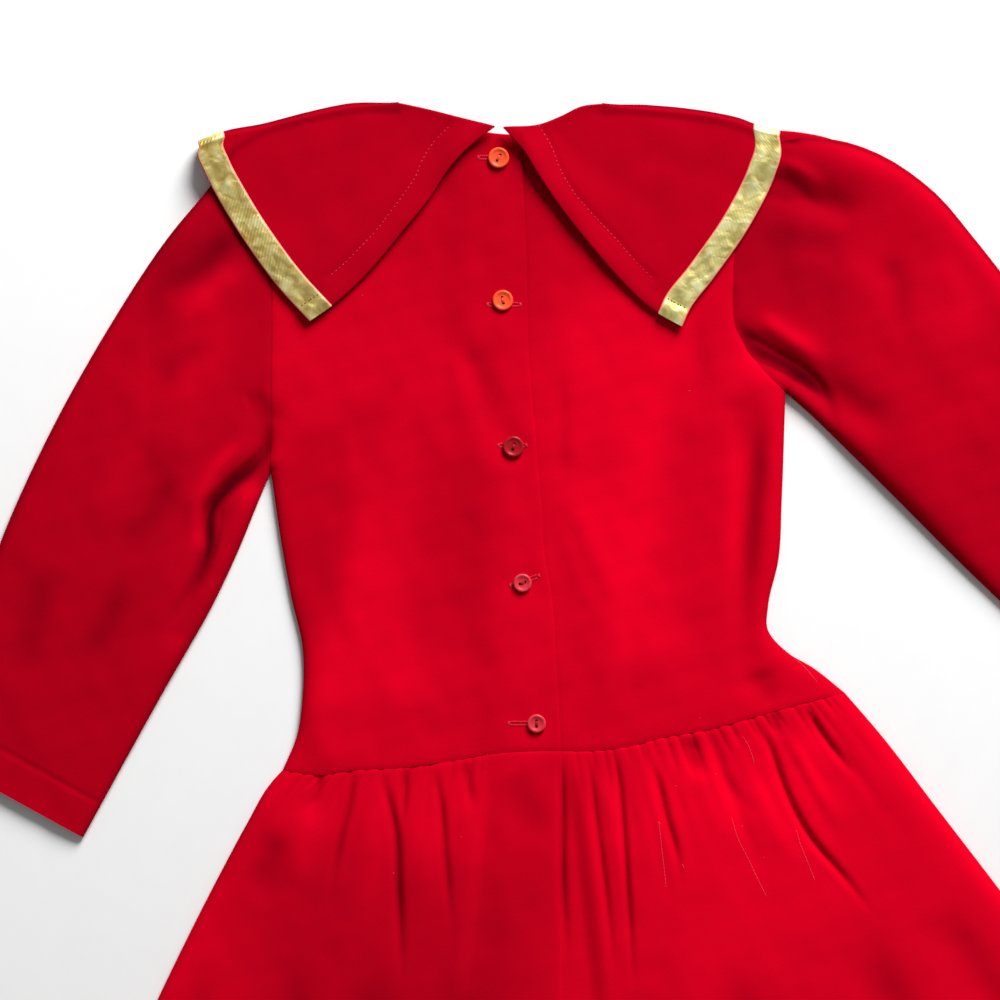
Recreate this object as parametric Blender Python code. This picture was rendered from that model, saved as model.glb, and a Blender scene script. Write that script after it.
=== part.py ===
"""A child's long-sleeved party dress with a pointed collar, laid flat on its front with its buttoned back up.

+X is to the wearer's right-hand side as the dress lies, +Y runs from the hem to the neck and +Z is up.
Lengths are in millimetres here, and the meshes are made in metres.
"""

import math
from collections import namedtuple

import bpy
import numpy as np

MM = 0.001

# Thickness of each cloth and the room left between two layers
CLOTH = 1.2
COLLAR_CLOTH = 1.6
RIBBON_CLOTH = 0.8
GAP = 0.3

# The front collar and its ribbon lie under the front bodice and lift it by their own stack
COLLAR_STACK = RIBBON_CLOTH + GAP + COLLAR_CLOTH + GAP
COLLAR_MIDDLE = -4.5
COLLAR_REACH = 174.0
COLLAR_DROP = -136.0
STACK_RAMP = 26.0

# Air between the front and back layers, and how soon it builds up inside a folded edge
NECK_AIR = 1.8
BODY_AIR = 3.4
SLEEVE_AIR = 7.5
CUFF_AIR = 2.2
SKIRT_AIR = 3.4
EDGE_ROLL = 5.0

# Centre-back lap: half its width, the lift that one layer of cloth needs, and how softly it rises
LAP_HALF = 14.0
LAP_LIFT = CLOTH + GAP + 0.25
LAP_RISE = 24.0

RIBBON_WIDTH = 16.0
BUTTON_HOLE = 0.9
BUTTON_DEPTH = 2.2

Place = namedtuple("Place", "x y")
Fold = namedtuple("Fold", "x1 y1 x2 y2 rise width")
Gather = namedtuple("Gather", "x depth reach")
Button = namedtuple("Button", "x y across hole_gap turn colour")

# Line of the buttons, from the neck down to the hem
BUTTON_LINE = (Place(0, 0), Place(3, -99), Place(9, -184), Place(15, -263), Place(23, -344),
               Place(25, -380), Place(26, -700))

BUTTONS = (
    Button(0.9, -16.4, 12.1, 3.6, 60, "coral"),
    Button(3.3, -99.0, 11.9, 3.3, 102, "coral"),
    Button(9.5, -183.7, 12.2, 3.2, 75, "red"),
    Button(14.7, -262.7, 10.8, 3.0, 20, "red"),
    Button(22.9, -344.2, 10.8, 3.2, 90, "red"),
)

# Outline of the body and sleeves, seam by seam
LEFT_SHOULDER = (Place(-57, 10.5), Place(-74, 10.8), Place(-91, 9.0), Place(-111, 4.7), Place(-132, -0.8))
LEFT_ARMHOLE = (Place(-132, -0.8), Place(-130.5, -60), Place(-130.5, -122), Place(-131.4, -198))
LEFT_SIDE = (Place(-131.4, -198), Place(-125, -241), Place(-119.5, -271), Place(-113, -300),
             Place(-113, -330), Place(-116, -351), Place(-124.4, -371.6))
LEFT_SLEEVE_OUTER = (Place(-132.4, -1), Place(-150, -10), Place(-166.5, -33), Place(-193, -66),
                     Place(-228, -120), Place(-262, -182), Place(-290, -245), Place(-309, -305),
                     Place(-321.6, -366))
LEFT_SLEEVE_INNER = (Place(-131.9, -198.6), Place(-139, -215.5), Place(-153, -249), Place(-164, -272),
                     Place(-193, -323), Place(-241, -410.5))
RIGHT_SHOULDER = (Place(62, 9.6), Place(78, 9.4), Place(109, 7), Place(127, 4.2), Place(143, 0))
RIGHT_ARMHOLE = (Place(143, 0), Place(140, -45), Place(137, -85), Place(138.5, -115), Place(151.6, -136),
                 Place(167.5, -152.5))
RIGHT_SIDE = (Place(167.5, -152.5), Place(165.4, -214), Place(163.5, -249), Place(157.5, -276),
              Place(157, -289), Place(169, -303.5), Place(183, -311.8), Place(201.8, -326.6))
RIGHT_SLEEVE_OUTER = (Place(143.4, -0.4), Place(163, -6.6), Place(178, -4.6), Place(196, -6.2),
                      Place(226, -17), Place(254, -37), Place(278, -65), Place(318, -118), Place(352, -168),
                      Place(385, -215), Place(414.3, -260))
RIGHT_SLEEVE_INNER = (Place(168.2, -152.4), Place(182, -164.4), Place(196, -177.8), Place(230, -211),
                      Place(268, -249), Place(310, -289), Place(350.8, -326.2))

# Where each sleeve's own air starts, beside the body and above the line to the skirt
Arm = namedtuple("Arm", "side starts line_y slope head_x head_y cuff_x cuff_y")
ARMS = (
    Arm(-1, 150, -326, 1.2, -150, -50, -281, -388),
    Arm(1, 165, -225, 0.75, 150, -60, 382, -293),
)

# How softly that air starts beside the body and across the line
ARM_BLEND = 50.0
ARM_LINE_BLEND = (-10.0, 20.0)

# Neck edges of the back and front bodice
BACK_NECK_LEFT = (Place(-57, 10.5), Place(-39, 7), Place(-20, 2), Place(-3, -1.8), Place(14, -3))
BACK_NECK_RIGHT = (Place(-14, -0.6), Place(5, -3), Place(24, -1.6), Place(38, 3.4), Place(49, 7.6),
                   Place(62, 9.6))
FRONT_NECK = (Place(-57, 10.5), Place(-48, -20), Place(-25, -41), Place(2, -48), Place(28, -41),
              Place(52, -20), Place(62, 9.6))

# Dropped waist seam, hem and the skirt's side folds
WAIST_SEAM = (Place(-124.4, -371.6), Place(-102.7, -374.6), Place(-84.7, -371.8), Place(-52.8, -370),
              Place(-22, -365.4), Place(1.7, -361.6), Place(35.4, -360.2), Place(53.4, -360.3),
              Place(76.6, -357.6), Place(91.1, -353.8), Place(125.9, -347.2), Place(162.4, -337),
              Place(201.8, -326.6))
HEM = (Place(-256, -640), Place(-190, -655), Place(-80, -666), Place(25, -668), Place(150, -655),
       Place(280, -617), Place(378.7, -566))
LEFT_SKIRT_SIDE = (Place(-124.4, -371.6), Place(-131, -378.6), Place(-145, -402.3), Place(-160.4, -431),
                   Place(-200, -511), Place(-230, -578), Place(-256, -640))
RIGHT_SKIRT_SIDE = (Place(201.8, -326.6), Place(222, -350), Place(255, -393), Place(300, -452),
                    Place(345, -515), Place(378.7, -566))
LAP_EDGE = (Place(14, -3), Place(16.5, -60), Place(18.6, -133.4), Place(22.6, -181.5), Place(25.5, -217),
            Place(27.8, -249), Place(31.3, -268), Place(34.2, -308.6), Place(37.2, -360.2))
UNDER_EDGE = (Place(-14, -0.6), Place(-11, -99), Place(-4.5, -184), Place(0.7, -263), Place(9, -361.2))
SKIRT_LAP_FOOT = Place(40, -668)
SKIRT_UNDER_FOOT = Place(12, -668)

# Collar halves: roll line at the neck, centre-back edge, fold over the shoulder and outer edge
Collar = namedtuple("Collar", "roll centre shoulder outer inward front_roll front_centre front_outer stand")
LEFT_COLLAR = Collar(
    roll=(Place(-3.4, 1.2), Place(-20, 5.6), Place(-39.4, 10.8), Place(-57.5, 15.4)),
    centre=(Place(-3.4, 1.2), Place(-14.8, -9.2), Place(-29.1, -24.7), Place(-39.4, -40.3),
            Place(-55.1, -59.7), Place(-79.6, -88.2), Place(-95.8, -102.4), Place(-108.6, -111.2)),
    shoulder=(Place(-57.5, 15.4), Place(-74.4, 15.7), Place(-91.2, 14), Place(-110.8, 9.6),
              Place(-136.5, 3), Place(-158.5, -1.4), Place(-173, -7.4)),
    outer=(Place(-108.6, -111.2), Place(-126.9, -91.1), Place(-143, -69.5), Place(-159.3, -43.8),
           Place(-170.4, -22.6), Place(-173.4, -14.5), Place(-173, -7.4)),
    inward=Place(0.19, -0.98),
    front_roll=(Place(-57.5, 15.4), Place(-44, -17), Place(-23, -36), Place(-1, -43)),
    front_centre=(Place(-1, -43), Place(-45, -84), Place(-92, -117)),
    front_outer=(Place(-173, -7.4), Place(-150, -55), Place(-125, -86), Place(-92, -117)),
    stand=2.2,
)
RIGHT_COLLAR = Collar(
    roll=(Place(5.4, 0.2), Place(24.4, 2), Place(38, 7.3), Place(49, 12.6), Place(61.3, 14.9)),
    centre=(Place(5.4, 0.2), Place(16, -13.6), Place(24, -26.7), Place(30.4, -36.5), Place(51.6, -64.4),
            Place(65.5, -80.8), Place(92.1, -106), Place(107, -114.3)),
    shoulder=(Place(61.3, 14.9), Place(77.7, 14.3), Place(109, 12.1), Place(127, 9.4), Place(140.7, 6.3),
              Place(150.2, 2.7), Place(164, -1.2)),
    outer=(Place(107, -114.3), Place(110.6, -106), Place(125.4, -86.2), Place(148.5, -52.2),
           Place(160.8, -26.7), Place(164.6, -13.9), Place(164, -1.2)),
    inward=Place(-0.13, -0.99),
    front_roll=(Place(61.3, 14.9), Place(49, -17), Place(28, -36), Place(4, -43)),
    front_centre=(Place(4, -43), Place(48, -84), Place(100, -115)),
    front_outer=(Place(164, -1.2), Place(150, -45), Place(128, -82), Place(100, -115)),
    stand=3.2,
)

# Largest soft folds of the back layer: a rise below zero is a trough
FOLDS = (
    Fold(141, -165, 146, -320, -1.5, 9),
    Fold(-12, -135, 7, -182, -1.0, 9),
    Fold(-133, -168, -139, -205, -2.6, 9),
    Fold(-139, -205, -166, -232, -2.6, 9),
    Fold(-168, -225, -186, -290, -2.2, 10),
    Fold(-160, -75, -196, -175, 2.0, 22),
    Fold(152, -129, 215, -167, -3.2, 11),
    Fold(158, -34, 198, -46, -2.4, 9),
    Fold(176, -12, 214, -24, 1.6, 12),
    Fold(180, -72, 262, -128, 1.8, 20),
    Fold(-118, -300, -100, -362, 1.2, 12),
    Fold(60, -225, 78, -345, 0.8, 22),
)

# Gathers under the waist seam, from left to right: place on the seam, depth and reach down the skirt
LEFT_GATHERS = (
    Gather(-117, 2.2, 0.9), Gather(-109, 1.5, 0.3), Gather(-101, 2.6, 0.55), Gather(-94, 1.6, 0.25),
    Gather(-87, 2.9, 1.0), Gather(-78, 2.0, 0.35), Gather(-69, 2.5, 0.7), Gather(-60, 1.9, 0.3),
    Gather(-52, 3.1, 1.0), Gather(-43, 2.2, 0.4), Gather(-34, 2.7, 0.65), Gather(-26, 1.7, 0.25),
    Gather(-17, 2.4, 0.9), Gather(-9, 1.5, 0.3),
)
RIGHT_GATHERS = (
    Gather(46, 2.0, 0.3), Gather(53, 3.0, 0.85), Gather(60, 1.9, 0.25), Gather(68, 2.4, 0.45),
    Gather(77, 3.4, 1.0), Gather(86, 2.1, 0.35), Gather(93, 2.7, 0.7), Gather(101, 1.8, 0.25),
    Gather(110, 2.6, 0.5), Gather(119, 3.0, 1.0), Gather(127, 2.0, 0.35), Gather(136, 2.5, 0.6),
    Gather(146, 2.1, 0.3), Gather(155, 3.3, 1.0), Gather(163, 2.4, 0.5), Gather(171, 1.9, 0.3),
    Gather(180, 2.9, 0.9), Gather(191, 2.1, 0.5),
)
GATHER_BULGE = 3.2
GATHER_WIDTH = 2.4
GATHER_SPREAD = 5.0
GATHER_COLUMN = 3.2
NARROWEST_COLUMN = 1.3

# Stretch beside the lap that isn't gathered, and how softly the gathers start beside it
PLAIN_FROM = 0.0
PLAIN_TO = 38.0
PLAIN_RAMP = 8.0

# Shares of a panel's length at which its rows lie, close together where it turns or joins
ARMHOLE_ROWS = (0, 0.04, 0.12, 0.25, 0.4, 0.55, 0.7, 0.84, 0.95, 1)
SIDE_ROWS = (0.08, 0.25, 0.45, 0.65, 0.83, 1)
ARMHOLE_SHARE = 0.53
SLEEVE_ROWS = (0, 0.03, 0.08, 0.15, 0.23, 0.32, 0.44, 0.58, 0.74, 0.9, 1)
SKIRT_ROWS = (0, 0.015, 0.045, 0.09, 0.17, 0.28, 0.42, 0.6, 0.8, 1)
EDGE_COLUMNS = (0, 0.015, 0.05, 0.12)
FOLD_TURNS = (30, 65, 90, 115, 150)
TURN_DEPTH = 3.0

# How far round a place the collar looks for the highest cloth under it, its gap above that,
# the height of its roll at the neck, and the depth of the lip turned in there
COLLAR_SEARCH = 5.0
COLLAR_GAP = 0.5
NECK_ROLL = 0.9
LIP = 1.3


def clear_scene():
    """Remove whatever the file holds."""
    for thing in list(bpy.data.objects):
        bpy.data.objects.remove(thing)


def smooth(value, low, high):
    """0 below low, 1 above high, and an even S between them."""
    share = np.clip((value - low) / (high - low), 0, 1)
    return share * share * (3 - 2 * share)


def curve(points):
    """A smooth curve through the points, as a function of the share of its length."""
    knots = np.array(points, float)
    steps = np.linalg.norm(np.diff(knots, axis=0), axis=1)
    reached = np.concatenate([[0], np.cumsum(steps)])
    slopes = np.gradient(knots, reached, axis=0)

    def place(share):
        where = np.clip(share, 0, 1) * reached[-1]
        first = np.clip(np.searchsorted(reached, where, side="right") - 1, 0, len(steps) - 1)
        span = steps[first][..., None]
        t = (where - reached[first])[..., None] / span
        start = knots[first] * (1 + 2 * t) * (1 - t) ** 2 + slopes[first] * span * t * (1 - t) ** 2
        end = knots[first + 1] * (3 - 2 * t) * t ** 2 + slopes[first + 1] * span * (t - 1) * t ** 2
        return start + end

    return place


def joined(first, second, share):
    """Two curves that meet at a corner, as one, with the corner at the given share."""
    def place(at):
        before = first(np.minimum(at / share, 1))
        after = second(np.maximum((at - share) / (1 - share), 0))
        return np.where((at <= share)[..., None], before, after)

    return place


def part_of(whole, start, end):
    """The stretch of a curve between two shares."""
    return lambda at: whole(start + (end - start) * at)


def share_at_x(whole, x):
    """The share of a curve at which it reaches x, on a curve that runs one way in x."""
    shares = np.linspace(0, 1, 401)
    return np.interp(x, whole(shares)[:, 0], shares)


def patch(top, bottom, left, right, across, down):
    """Plan places inside four boundary curves, for grids of shares across and down."""
    across, down = np.broadcast_arrays(across, down)
    u = across[..., None]
    v = down[..., None]
    ends = np.array([0.0, 1.0])
    (top_left, top_right), (low_left, low_right) = top(ends), bottom(ends)
    ruled = (1 - v) * top(across) + v * bottom(across) + (1 - u) * left(down) + u * right(down)
    corners = (1 - v) * ((1 - u) * top_left + u * top_right) + v * ((1 - u) * low_left + u * low_right)
    return ruled - corners


def grid(across, down):
    """Grids of shares, a row for each value of down."""
    return np.meshgrid(np.array(across, float), np.array(down, float))


def distance_to(plan, line):
    """Shortest distance in plan from each place to a line of points."""
    runs = np.diff(line, axis=0)
    moving = (runs ** 2).sum(-1) > 1e-6
    starts = line[:-1][moving]
    runs = runs[moving]
    away = plan[..., None, :] - starts
    share = np.clip((away * runs).sum(-1) / (runs * runs).sum(-1), 0, 1)
    return np.linalg.norm(away - share[..., None] * runs, axis=-1).min(-1)


def folded_edges():
    """Lines of the side folds and seams where the front and back layers meet."""
    shares = np.linspace(0, 1, 40)
    runs = (
        (LEFT_SHOULDER, LEFT_SLEEVE_OUTER),
        (RIGHT_SHOULDER, RIGHT_SLEEVE_OUTER),
        (tuple(reversed(LEFT_SLEEVE_INNER)), LEFT_SIDE, LEFT_SKIRT_SIDE),
        (tuple(reversed(RIGHT_SLEEVE_INNER)), RIGHT_SIDE, RIGHT_SKIRT_SIDE),
    )
    return [np.vstack([curve(piece)(shares) for piece in run]) for run in runs]


EDGE_LINES = folded_edges()
LAP_X, LAP_Y = np.array(BUTTON_LINE, float).T


def folds_rise(plan):
    """Height that the soft folds add, each fading at both ends."""
    total = np.zeros(plan.shape[:-1])
    for fold in FOLDS:
        start = np.array([fold.x1, fold.y1])
        run = np.array([fold.x2, fold.y2]) - start
        share = (plan - start) @ run / (run @ run)
        nearest = start + np.clip(share, 0, 1)[..., None] * run
        away = np.linalg.norm(plan - nearest, axis=-1)
        total += fold.rise * np.exp(-(away / fold.width) ** 2)
    return total


def front_low(plan):
    """Underside of the front layer: on the floor, and lifted over the front collar."""
    over = smooth(plan[..., 1], COLLAR_DROP - STACK_RAMP, COLLAR_DROP)
    beside = 1 - smooth(abs(plan[..., 0] - COLLAR_MIDDLE), COLLAR_REACH, COLLAR_REACH + STACK_RAMP)
    return COLLAR_STACK * over * beside


def arm_share(plan, arm):
    """How far a place lies inside one sleeve, and how far it is along it from the head to the cuff."""
    x = plan[..., 0]
    y = plan[..., 1]
    out = smooth(x * arm.side, arm.starts, arm.starts + ARM_BLEND)
    above = smooth(y - arm.line_y + arm.slope * (x * arm.side - arm.starts), *ARM_LINE_BLEND)
    head = np.array([arm.head_x, arm.head_y])
    run = np.array([arm.cuff_x, arm.cuff_y]) - head
    return out * above, (plan - head) @ run / (run @ run)


def air_height(plan):
    """Air that the two layers hold, before folds: most in the sleeves and least at the neck and cuffs."""
    y = plan[..., 1]
    air = NECK_AIR + (BODY_AIR - NECK_AIR) * smooth(-y, 10, 130)
    air += (SKIRT_AIR - BODY_AIR) * smooth(-y, 340, 380)
    for arm in ARMS:
        inside, along = arm_share(plan, arm)
        sleeve = SLEEVE_AIR + (CUFF_AIR - SLEEVE_AIR) * smooth(along, 0.45, 1)
        air += inside * (sleeve - air)
    return air


def lap_lift(plan):
    """Lift of the upper lap over the lower one, carried a little past both its edges."""
    aside = plan[..., 0] - np.interp(-plan[..., 1], -LAP_Y, LAP_X)
    rises = smooth(aside, -LAP_HALF - LAP_RISE, -LAP_HALF - 2)
    falls = 1 - smooth(aside, LAP_HALF + 2, LAP_HALF + LAP_RISE)
    return LAP_LIFT * rises * falls


def edge_share(plan):
    """0 on a folded edge, rising quickly to 1 inside it."""
    away = np.min([distance_to(plan, line) for line in EDGE_LINES], axis=0)
    return (1 - np.exp(-away / EDGE_ROLL)) ** 0.7


def back_low(plan, bulge=0.0):
    """Underside of the back layer: on the front layer at the folded edges and above it inside them."""
    room = (air_height(plan) + folds_rise(plan) + bulge) * edge_share(plan)
    return front_low(plan) + CLOTH + GAP + np.maximum(room, 0)


def normals(points):
    """Unit normals of a grid of points, up on a patch whose rows run down the dress."""
    along = np.gradient(points, axis=0)
    across = np.gradient(points, axis=1)
    facing = np.cross(along, across)
    return facing / np.linalg.norm(facing, axis=-1, keepdims=True)


def upright_thickness(plan, low, thickness):
    """Height between the faces of a sloping wall, so that it keeps its thickness square to itself."""
    tilt = abs(normals(np.dstack([plan, low]))[..., 2])
    return thickness / np.maximum(tilt, 0.6)


def quads(rows, columns, start):
    """Faces of a grid of points stored row by row, seen from above."""
    faces = []
    for row in range(rows - 1):
        for column in range(columns - 1):
            corner = start + row * columns + column
            faces.append((corner, corner + columns, corner + columns + 1, corner + 1))
    return faces


def rim(rows, columns):
    """Indices round the edge of a grid, in order."""
    top = [column for column in range(columns)]
    right = [row * columns + columns - 1 for row in range(1, rows)]
    bottom = [(rows - 1) * columns + column for column in range(columns - 2, -1, -1)]
    left = [row * columns for row in range(rows - 2, 0, -1)]
    return top + right + bottom + left


def finish(name, colour, roughness, metallic=0.0):
    """A Principled material of one colour."""
    material = bpy.data.materials.new(name)
    material.use_nodes = True
    shader = material.node_tree.nodes["Principled BSDF"]
    shader.inputs["Base Color"].default_value = (*colour, 1)
    shader.inputs["Roughness"].default_value = roughness
    shader.inputs["Metallic"].default_value = metallic
    return material


def facing_out(points, faces):
    """The faces, turned round if they enclose their volume inside out."""
    volume = 0.0
    for face in faces:
        for second, third in zip(face[1:-1], face[2:]):
            volume += np.dot(points[face[0]], np.cross(points[second], points[third]))
    return faces if volume > 0 else [face[:1] + face[:0:-1] for face in faces]


def add_piece(name, points, faces, material, parent):
    """A named mesh object made from points in millimetres."""
    mesh = bpy.data.meshes.new(name)
    mesh.from_pydata((points * MM).tolist(), [], facing_out(points, faces))
    mesh.materials.append(material)
    mesh.shade_smooth()
    mesh.set_sharp_from_angle(angle=math.radians(45))
    piece = bpy.data.objects.new(name, mesh)
    piece.parent = parent
    bpy.context.scene.collection.objects.link(piece)
    return piece


def add_wall(name, lower, upper, material, parent):
    """A wall between two grids of points, closed round its edge."""
    rows, columns = lower.shape[:2]
    count = rows * columns
    points = np.concatenate([upper.reshape(-1, 3), lower.reshape(-1, 3)])
    faces = quads(rows, columns, 0)
    faces += [(a + count, d + count, c + count, b + count) for a, b, c, d in quads(rows, columns, 0)]
    border = rim(rows, columns)
    for here, there in zip(border, border[1:] + border[:1]):
        faces.append((here, there, there + count, here + count))
    return add_piece(name, points, faces, material, parent)


def add_panel(name, plan, low, material, parent):
    """A panel of cloth over a grid of plan places, from the height of its underside."""
    high = low + upright_thickness(plan, low, CLOTH)
    return add_wall(name, np.dstack([plan, low]), np.dstack([plan, high]), material, parent)


def add_sleeve(name, plan, material, parent):
    """A flattened tube: its rings run along the lower layer and back along the upper one."""
    low = front_low(plan)
    high = back_low(plan)
    outside = ring_points(plan, low, high + upright_thickness(plan, high, CLOTH))
    inner_plan = plan.copy()
    for edge, beside in ((0, 1), (-1, -2)):
        step = plan[:, beside] - plan[:, edge]
        step /= np.linalg.norm(step, axis=-1, keepdims=True)
        inner_plan[:, edge] = plan[:, edge] + step * CLOTH
    inside = ring_points(inner_plan, low + CLOTH, np.maximum(high, low + CLOTH + GAP))
    rows, around = outside.shape[:2]
    count = rows * around
    points = np.concatenate([outside.reshape(-1, 3), inside.reshape(-1, 3)])
    faces = []
    for row in range(rows - 1):
        for step in range(around):
            here = row * around + step
            there = row * around + (step + 1) % around
            faces.append((here, there, there + around, here + around))
            faces.append((here + count, here + around + count, there + around + count, there + count))
    last = count - around
    for step in range(around):
        here = step
        there = (step + 1) % around
        faces.append((here, here + count, there + count, there))
        faces.append((last + here, last + there, last + there + count, last + here + count))
    return add_piece(name, points, faces, material, parent)


def ring_points(plan, low, high):
    """Closed rings, a row each: along the lower height and back along the upper one."""
    under = np.dstack([plan, low])
    over = np.dstack([plan, high])
    return np.concatenate([under, over[:, ::-1]], axis=1)


def bodice_rows():
    """Shares down a bodice panel: the armhole's, then the side seam's."""
    upper = [share * ARMHOLE_SHARE for share in ARMHOLE_ROWS]
    return upper + [ARMHOLE_SHARE + share * (1 - ARMHOLE_SHARE) for share in SIDE_ROWS]


def body_edge(armhole, side):
    """One edge of the bodice: down the armhole, round the underarm and down the side seam."""
    return joined(curve(armhole), curve(side), ARMHOLE_SHARE)


def front_bodice_plan():
    """Plan of the hidden front bodice, with its lower neckline."""
    neck_start = 0.27
    neck_end = 0.72
    far_share = (neck_end - neck_start) / (1 - neck_start)
    far_side = joined(curve(FRONT_NECK), curve(RIGHT_SHOULDER), far_share)
    top = joined(curve(tuple(reversed(LEFT_SHOULDER))), far_side, neck_start)
    columns = (0, 0.05, 0.13, 0.2, neck_start, 0.34, 0.42, 0.5, 0.58, 0.66, neck_end, 0.79, 0.86, 0.94, 1)
    across, down = grid(columns, bodice_rows())
    left = body_edge(LEFT_ARMHOLE, LEFT_SIDE)
    right = body_edge(RIGHT_ARMHOLE, RIGHT_SIDE)
    return patch(top, curve(WAIST_SEAM), left, right, across, down)


def back_bodice_plan(side):
    """Plan of one back bodice half: the left one laps over the right one."""
    seam = curve(WAIST_SEAM)
    if side == "left":
        neck_share = 0.52
        top = joined(curve(tuple(reversed(LEFT_SHOULDER))), curve(BACK_NECK_LEFT), neck_share)
        bottom = part_of(seam, 0, share_at_x(seam, LAP_EDGE[-1].x))
        columns = EDGE_COLUMNS + (0.25, 0.38, neck_share, 0.64, 0.72, 0.79, 0.86, 0.93, 1)
        borders = (body_edge(LEFT_ARMHOLE, LEFT_SIDE), curve(LAP_EDGE))
    else:
        neck_share = 0.48
        top = joined(curve(BACK_NECK_RIGHT), curve(RIGHT_SHOULDER), neck_share)
        bottom = part_of(seam, share_at_x(seam, UNDER_EDGE[-1].x), 1)
        near_side = tuple(1 - edge for edge in reversed(EDGE_COLUMNS))
        columns = (0, 0.08, 0.16, 0.24, 0.32, 0.4, neck_share, 0.6, 0.72, 0.82) + near_side
        borders = (curve(UNDER_EDGE), body_edge(RIGHT_ARMHOLE, RIGHT_SIDE))
    across, down = grid(columns, bodice_rows())
    return patch(top, bottom, *borders, across, down)


def skirt_gathers(x_at_seam, down, gathers):
    """Bulge of the gathered cloth, cut by a trough at each gather, and none on the plain stretch."""
    growth = smooth(down, -0.01, 0.05) * (1 - 0.35 * smooth(down, 0.3, 1))
    past_start = smooth(x_at_seam, PLAIN_FROM - PLAIN_RAMP, PLAIN_FROM)
    before_end = 1 - smooth(x_at_seam, PLAIN_TO, PLAIN_TO + PLAIN_RAMP)
    total = GATHER_BULGE * growth * (1 - past_start * before_end)
    for gather in gathers:
        width = GATHER_WIDTH * (1 + GATHER_SPREAD * down * gather.reach) ** 0.5
        fade = 1 - smooth(down, gather.reach * 0.55, gather.reach + 0.12)
        if gather.reach >= 1:
            fade = 1 - 0.3 * smooth(down, 0.4, 1)
        total = total - gather.depth * growth * fade * np.exp(-((x_at_seam - gather.x) / width) ** 2)
    return total


def gather_columns(start, end, gathers, plain):
    """Places along the seam for a skirt's columns: three on each gather, and a few on the plain stretch."""
    places = {start, end}
    places.update(plain)
    for gather in gathers:
        places.update((gather.x - GATHER_COLUMN, gather.x, gather.x + GATHER_COLUMN))
    kept = sorted(place for place in places if start <= place <= end)
    spaced = [kept[0]]
    for place in kept[1:]:
        if place - spaced[-1] > NARROWEST_COLUMN or place == kept[-1]:
            spaced.append(place)
    return np.array(spaced)


def under_seam(plan, x, bodice):
    """Put a skirt's first row a gap below the lower edge of the bodice panel above it."""
    edge = bodice[-1]
    plan[0] = np.stack([x, np.interp(x, edge[:, 0], edge[:, 1]) - GAP], axis=-1)


def back_skirt(side, bodice):
    """Plan and underside of one back skirt half."""
    seam = curve(WAIST_SEAM)
    hem = curve(HEM)
    below = np.array([0, -GAP])
    if side == "left":
        ends = (WAIST_SEAM[0].x, LAP_EDGE[-1].x)
        hem_ends = (0, share_at_x(hem, SKIRT_LAP_FOOT.x))
        gathers = LEFT_GATHERS
        lap_side = curve((LAP_EDGE[-1], Place(38.2, -410), Place(37.7, -437), SKIRT_LAP_FOOT))
        borders = (curve(LEFT_SKIRT_SIDE), lap_side)
        plain = (-4, 4, 14, 24, 32)
    else:
        ends = (UNDER_EDGE[-1].x, WAIST_SEAM[-1].x)
        hem_ends = (share_at_x(hem, SKIRT_UNDER_FOOT.x), 1)
        gathers = RIGHT_GATHERS
        borders = (curve((UNDER_EDGE[-1], SKIRT_UNDER_FOOT)), curve(RIGHT_SKIRT_SIDE))
        plain = (20, 30, 38)
    columns = gather_columns(*ends, gathers, plain)
    across, down = grid((columns - ends[0]) / (ends[1] - ends[0]), SKIRT_ROWS)
    top = part_of(seam, share_at_x(seam, ends[0]), share_at_x(seam, ends[1]))
    plan = patch(top, part_of(hem, *hem_ends), *borders, across, down) + below * (1 - down[..., None])
    under_seam(plan, columns, bodice)
    x_at_seam = np.broadcast_to(columns, down.shape)
    low = back_low(plan, skirt_gathers(x_at_seam, down, gathers))
    return plan, low + lap_lift(plan) if side == "left" else low


def add_front_skirt(bodice, material, parent):
    """The hidden front skirt, flat on the floor."""
    below = np.array([0, -GAP])
    edge = bodice[-1, :, 0]
    across, down = grid((edge - edge[0]) / (edge[-1] - edge[0]), (0, 0.25, 0.5, 0.75, 1))
    borders = (curve(LEFT_SKIRT_SIDE), curve(RIGHT_SKIRT_SIDE))
    plan = patch(curve(WAIST_SEAM), curve(HEM), *borders, across, down) + below
    under_seam(plan, edge, bodice)
    return add_panel("front_skirt", plan, front_low(plan), material, parent)


def sleeve_plan(armhole, outer, inner):
    """Plan of a sleeve, a hair outside the armhole seam, with its rings from the armhole to the cuff."""
    start = curve(armhole)
    end = curve((outer[-1], inner[-1]))
    shift = np.array(outer[0]) - np.array(armhole[0])
    low_shift = np.array(inner[0]) - np.array(armhole[-1])

    def opening(share):
        turn = share[..., None]
        run = start(np.clip(share + 0.01, 0, 1)) - start(np.clip(share - 0.01, 0, 1))
        side = np.stack([run[..., 1], -run[..., 0]], axis=-1)
        side /= np.linalg.norm(side, axis=-1, keepdims=True)
        outward = side * np.sign(outer[-1].x) * -1.0
        ends = shift * (1 - smooth(turn, 0, 0.04)) + low_shift * smooth(turn, 0.95, 1)
        middle = smooth(turn, 0, 0.04) * (1 - smooth(turn, 0.95, 1))
        return start(share) + ends + outward * middle * (GAP + 0.15)

    across, down = grid(ARMHOLE_ROWS, SLEEVE_ROWS)
    return patch(opening, end, curve(outer), curve(inner), across, down)


def collar_back_middle(plan, across, down, stand):
    """Middle height of the back collar: on the bodice and sleeve head, standing off at its free edge."""
    steps = np.array(((0, 0), (1, 0), (-1, 0), (0, 1), (0, -1))) * COLLAR_SEARCH
    cover = np.max([back_low(plan + step) for step in steps], axis=0) + CLOTH + lap_lift(plan)
    roll = NECK_ROLL * np.exp(-across * 9)
    free = stand * (1 - smooth(down, 0, 0.42)) * (1 - 0.75 * smooth(across, 0.25, 1))
    return cover + COLLAR_GAP + COLLAR_CLOTH / 2 + roll + free


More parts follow.
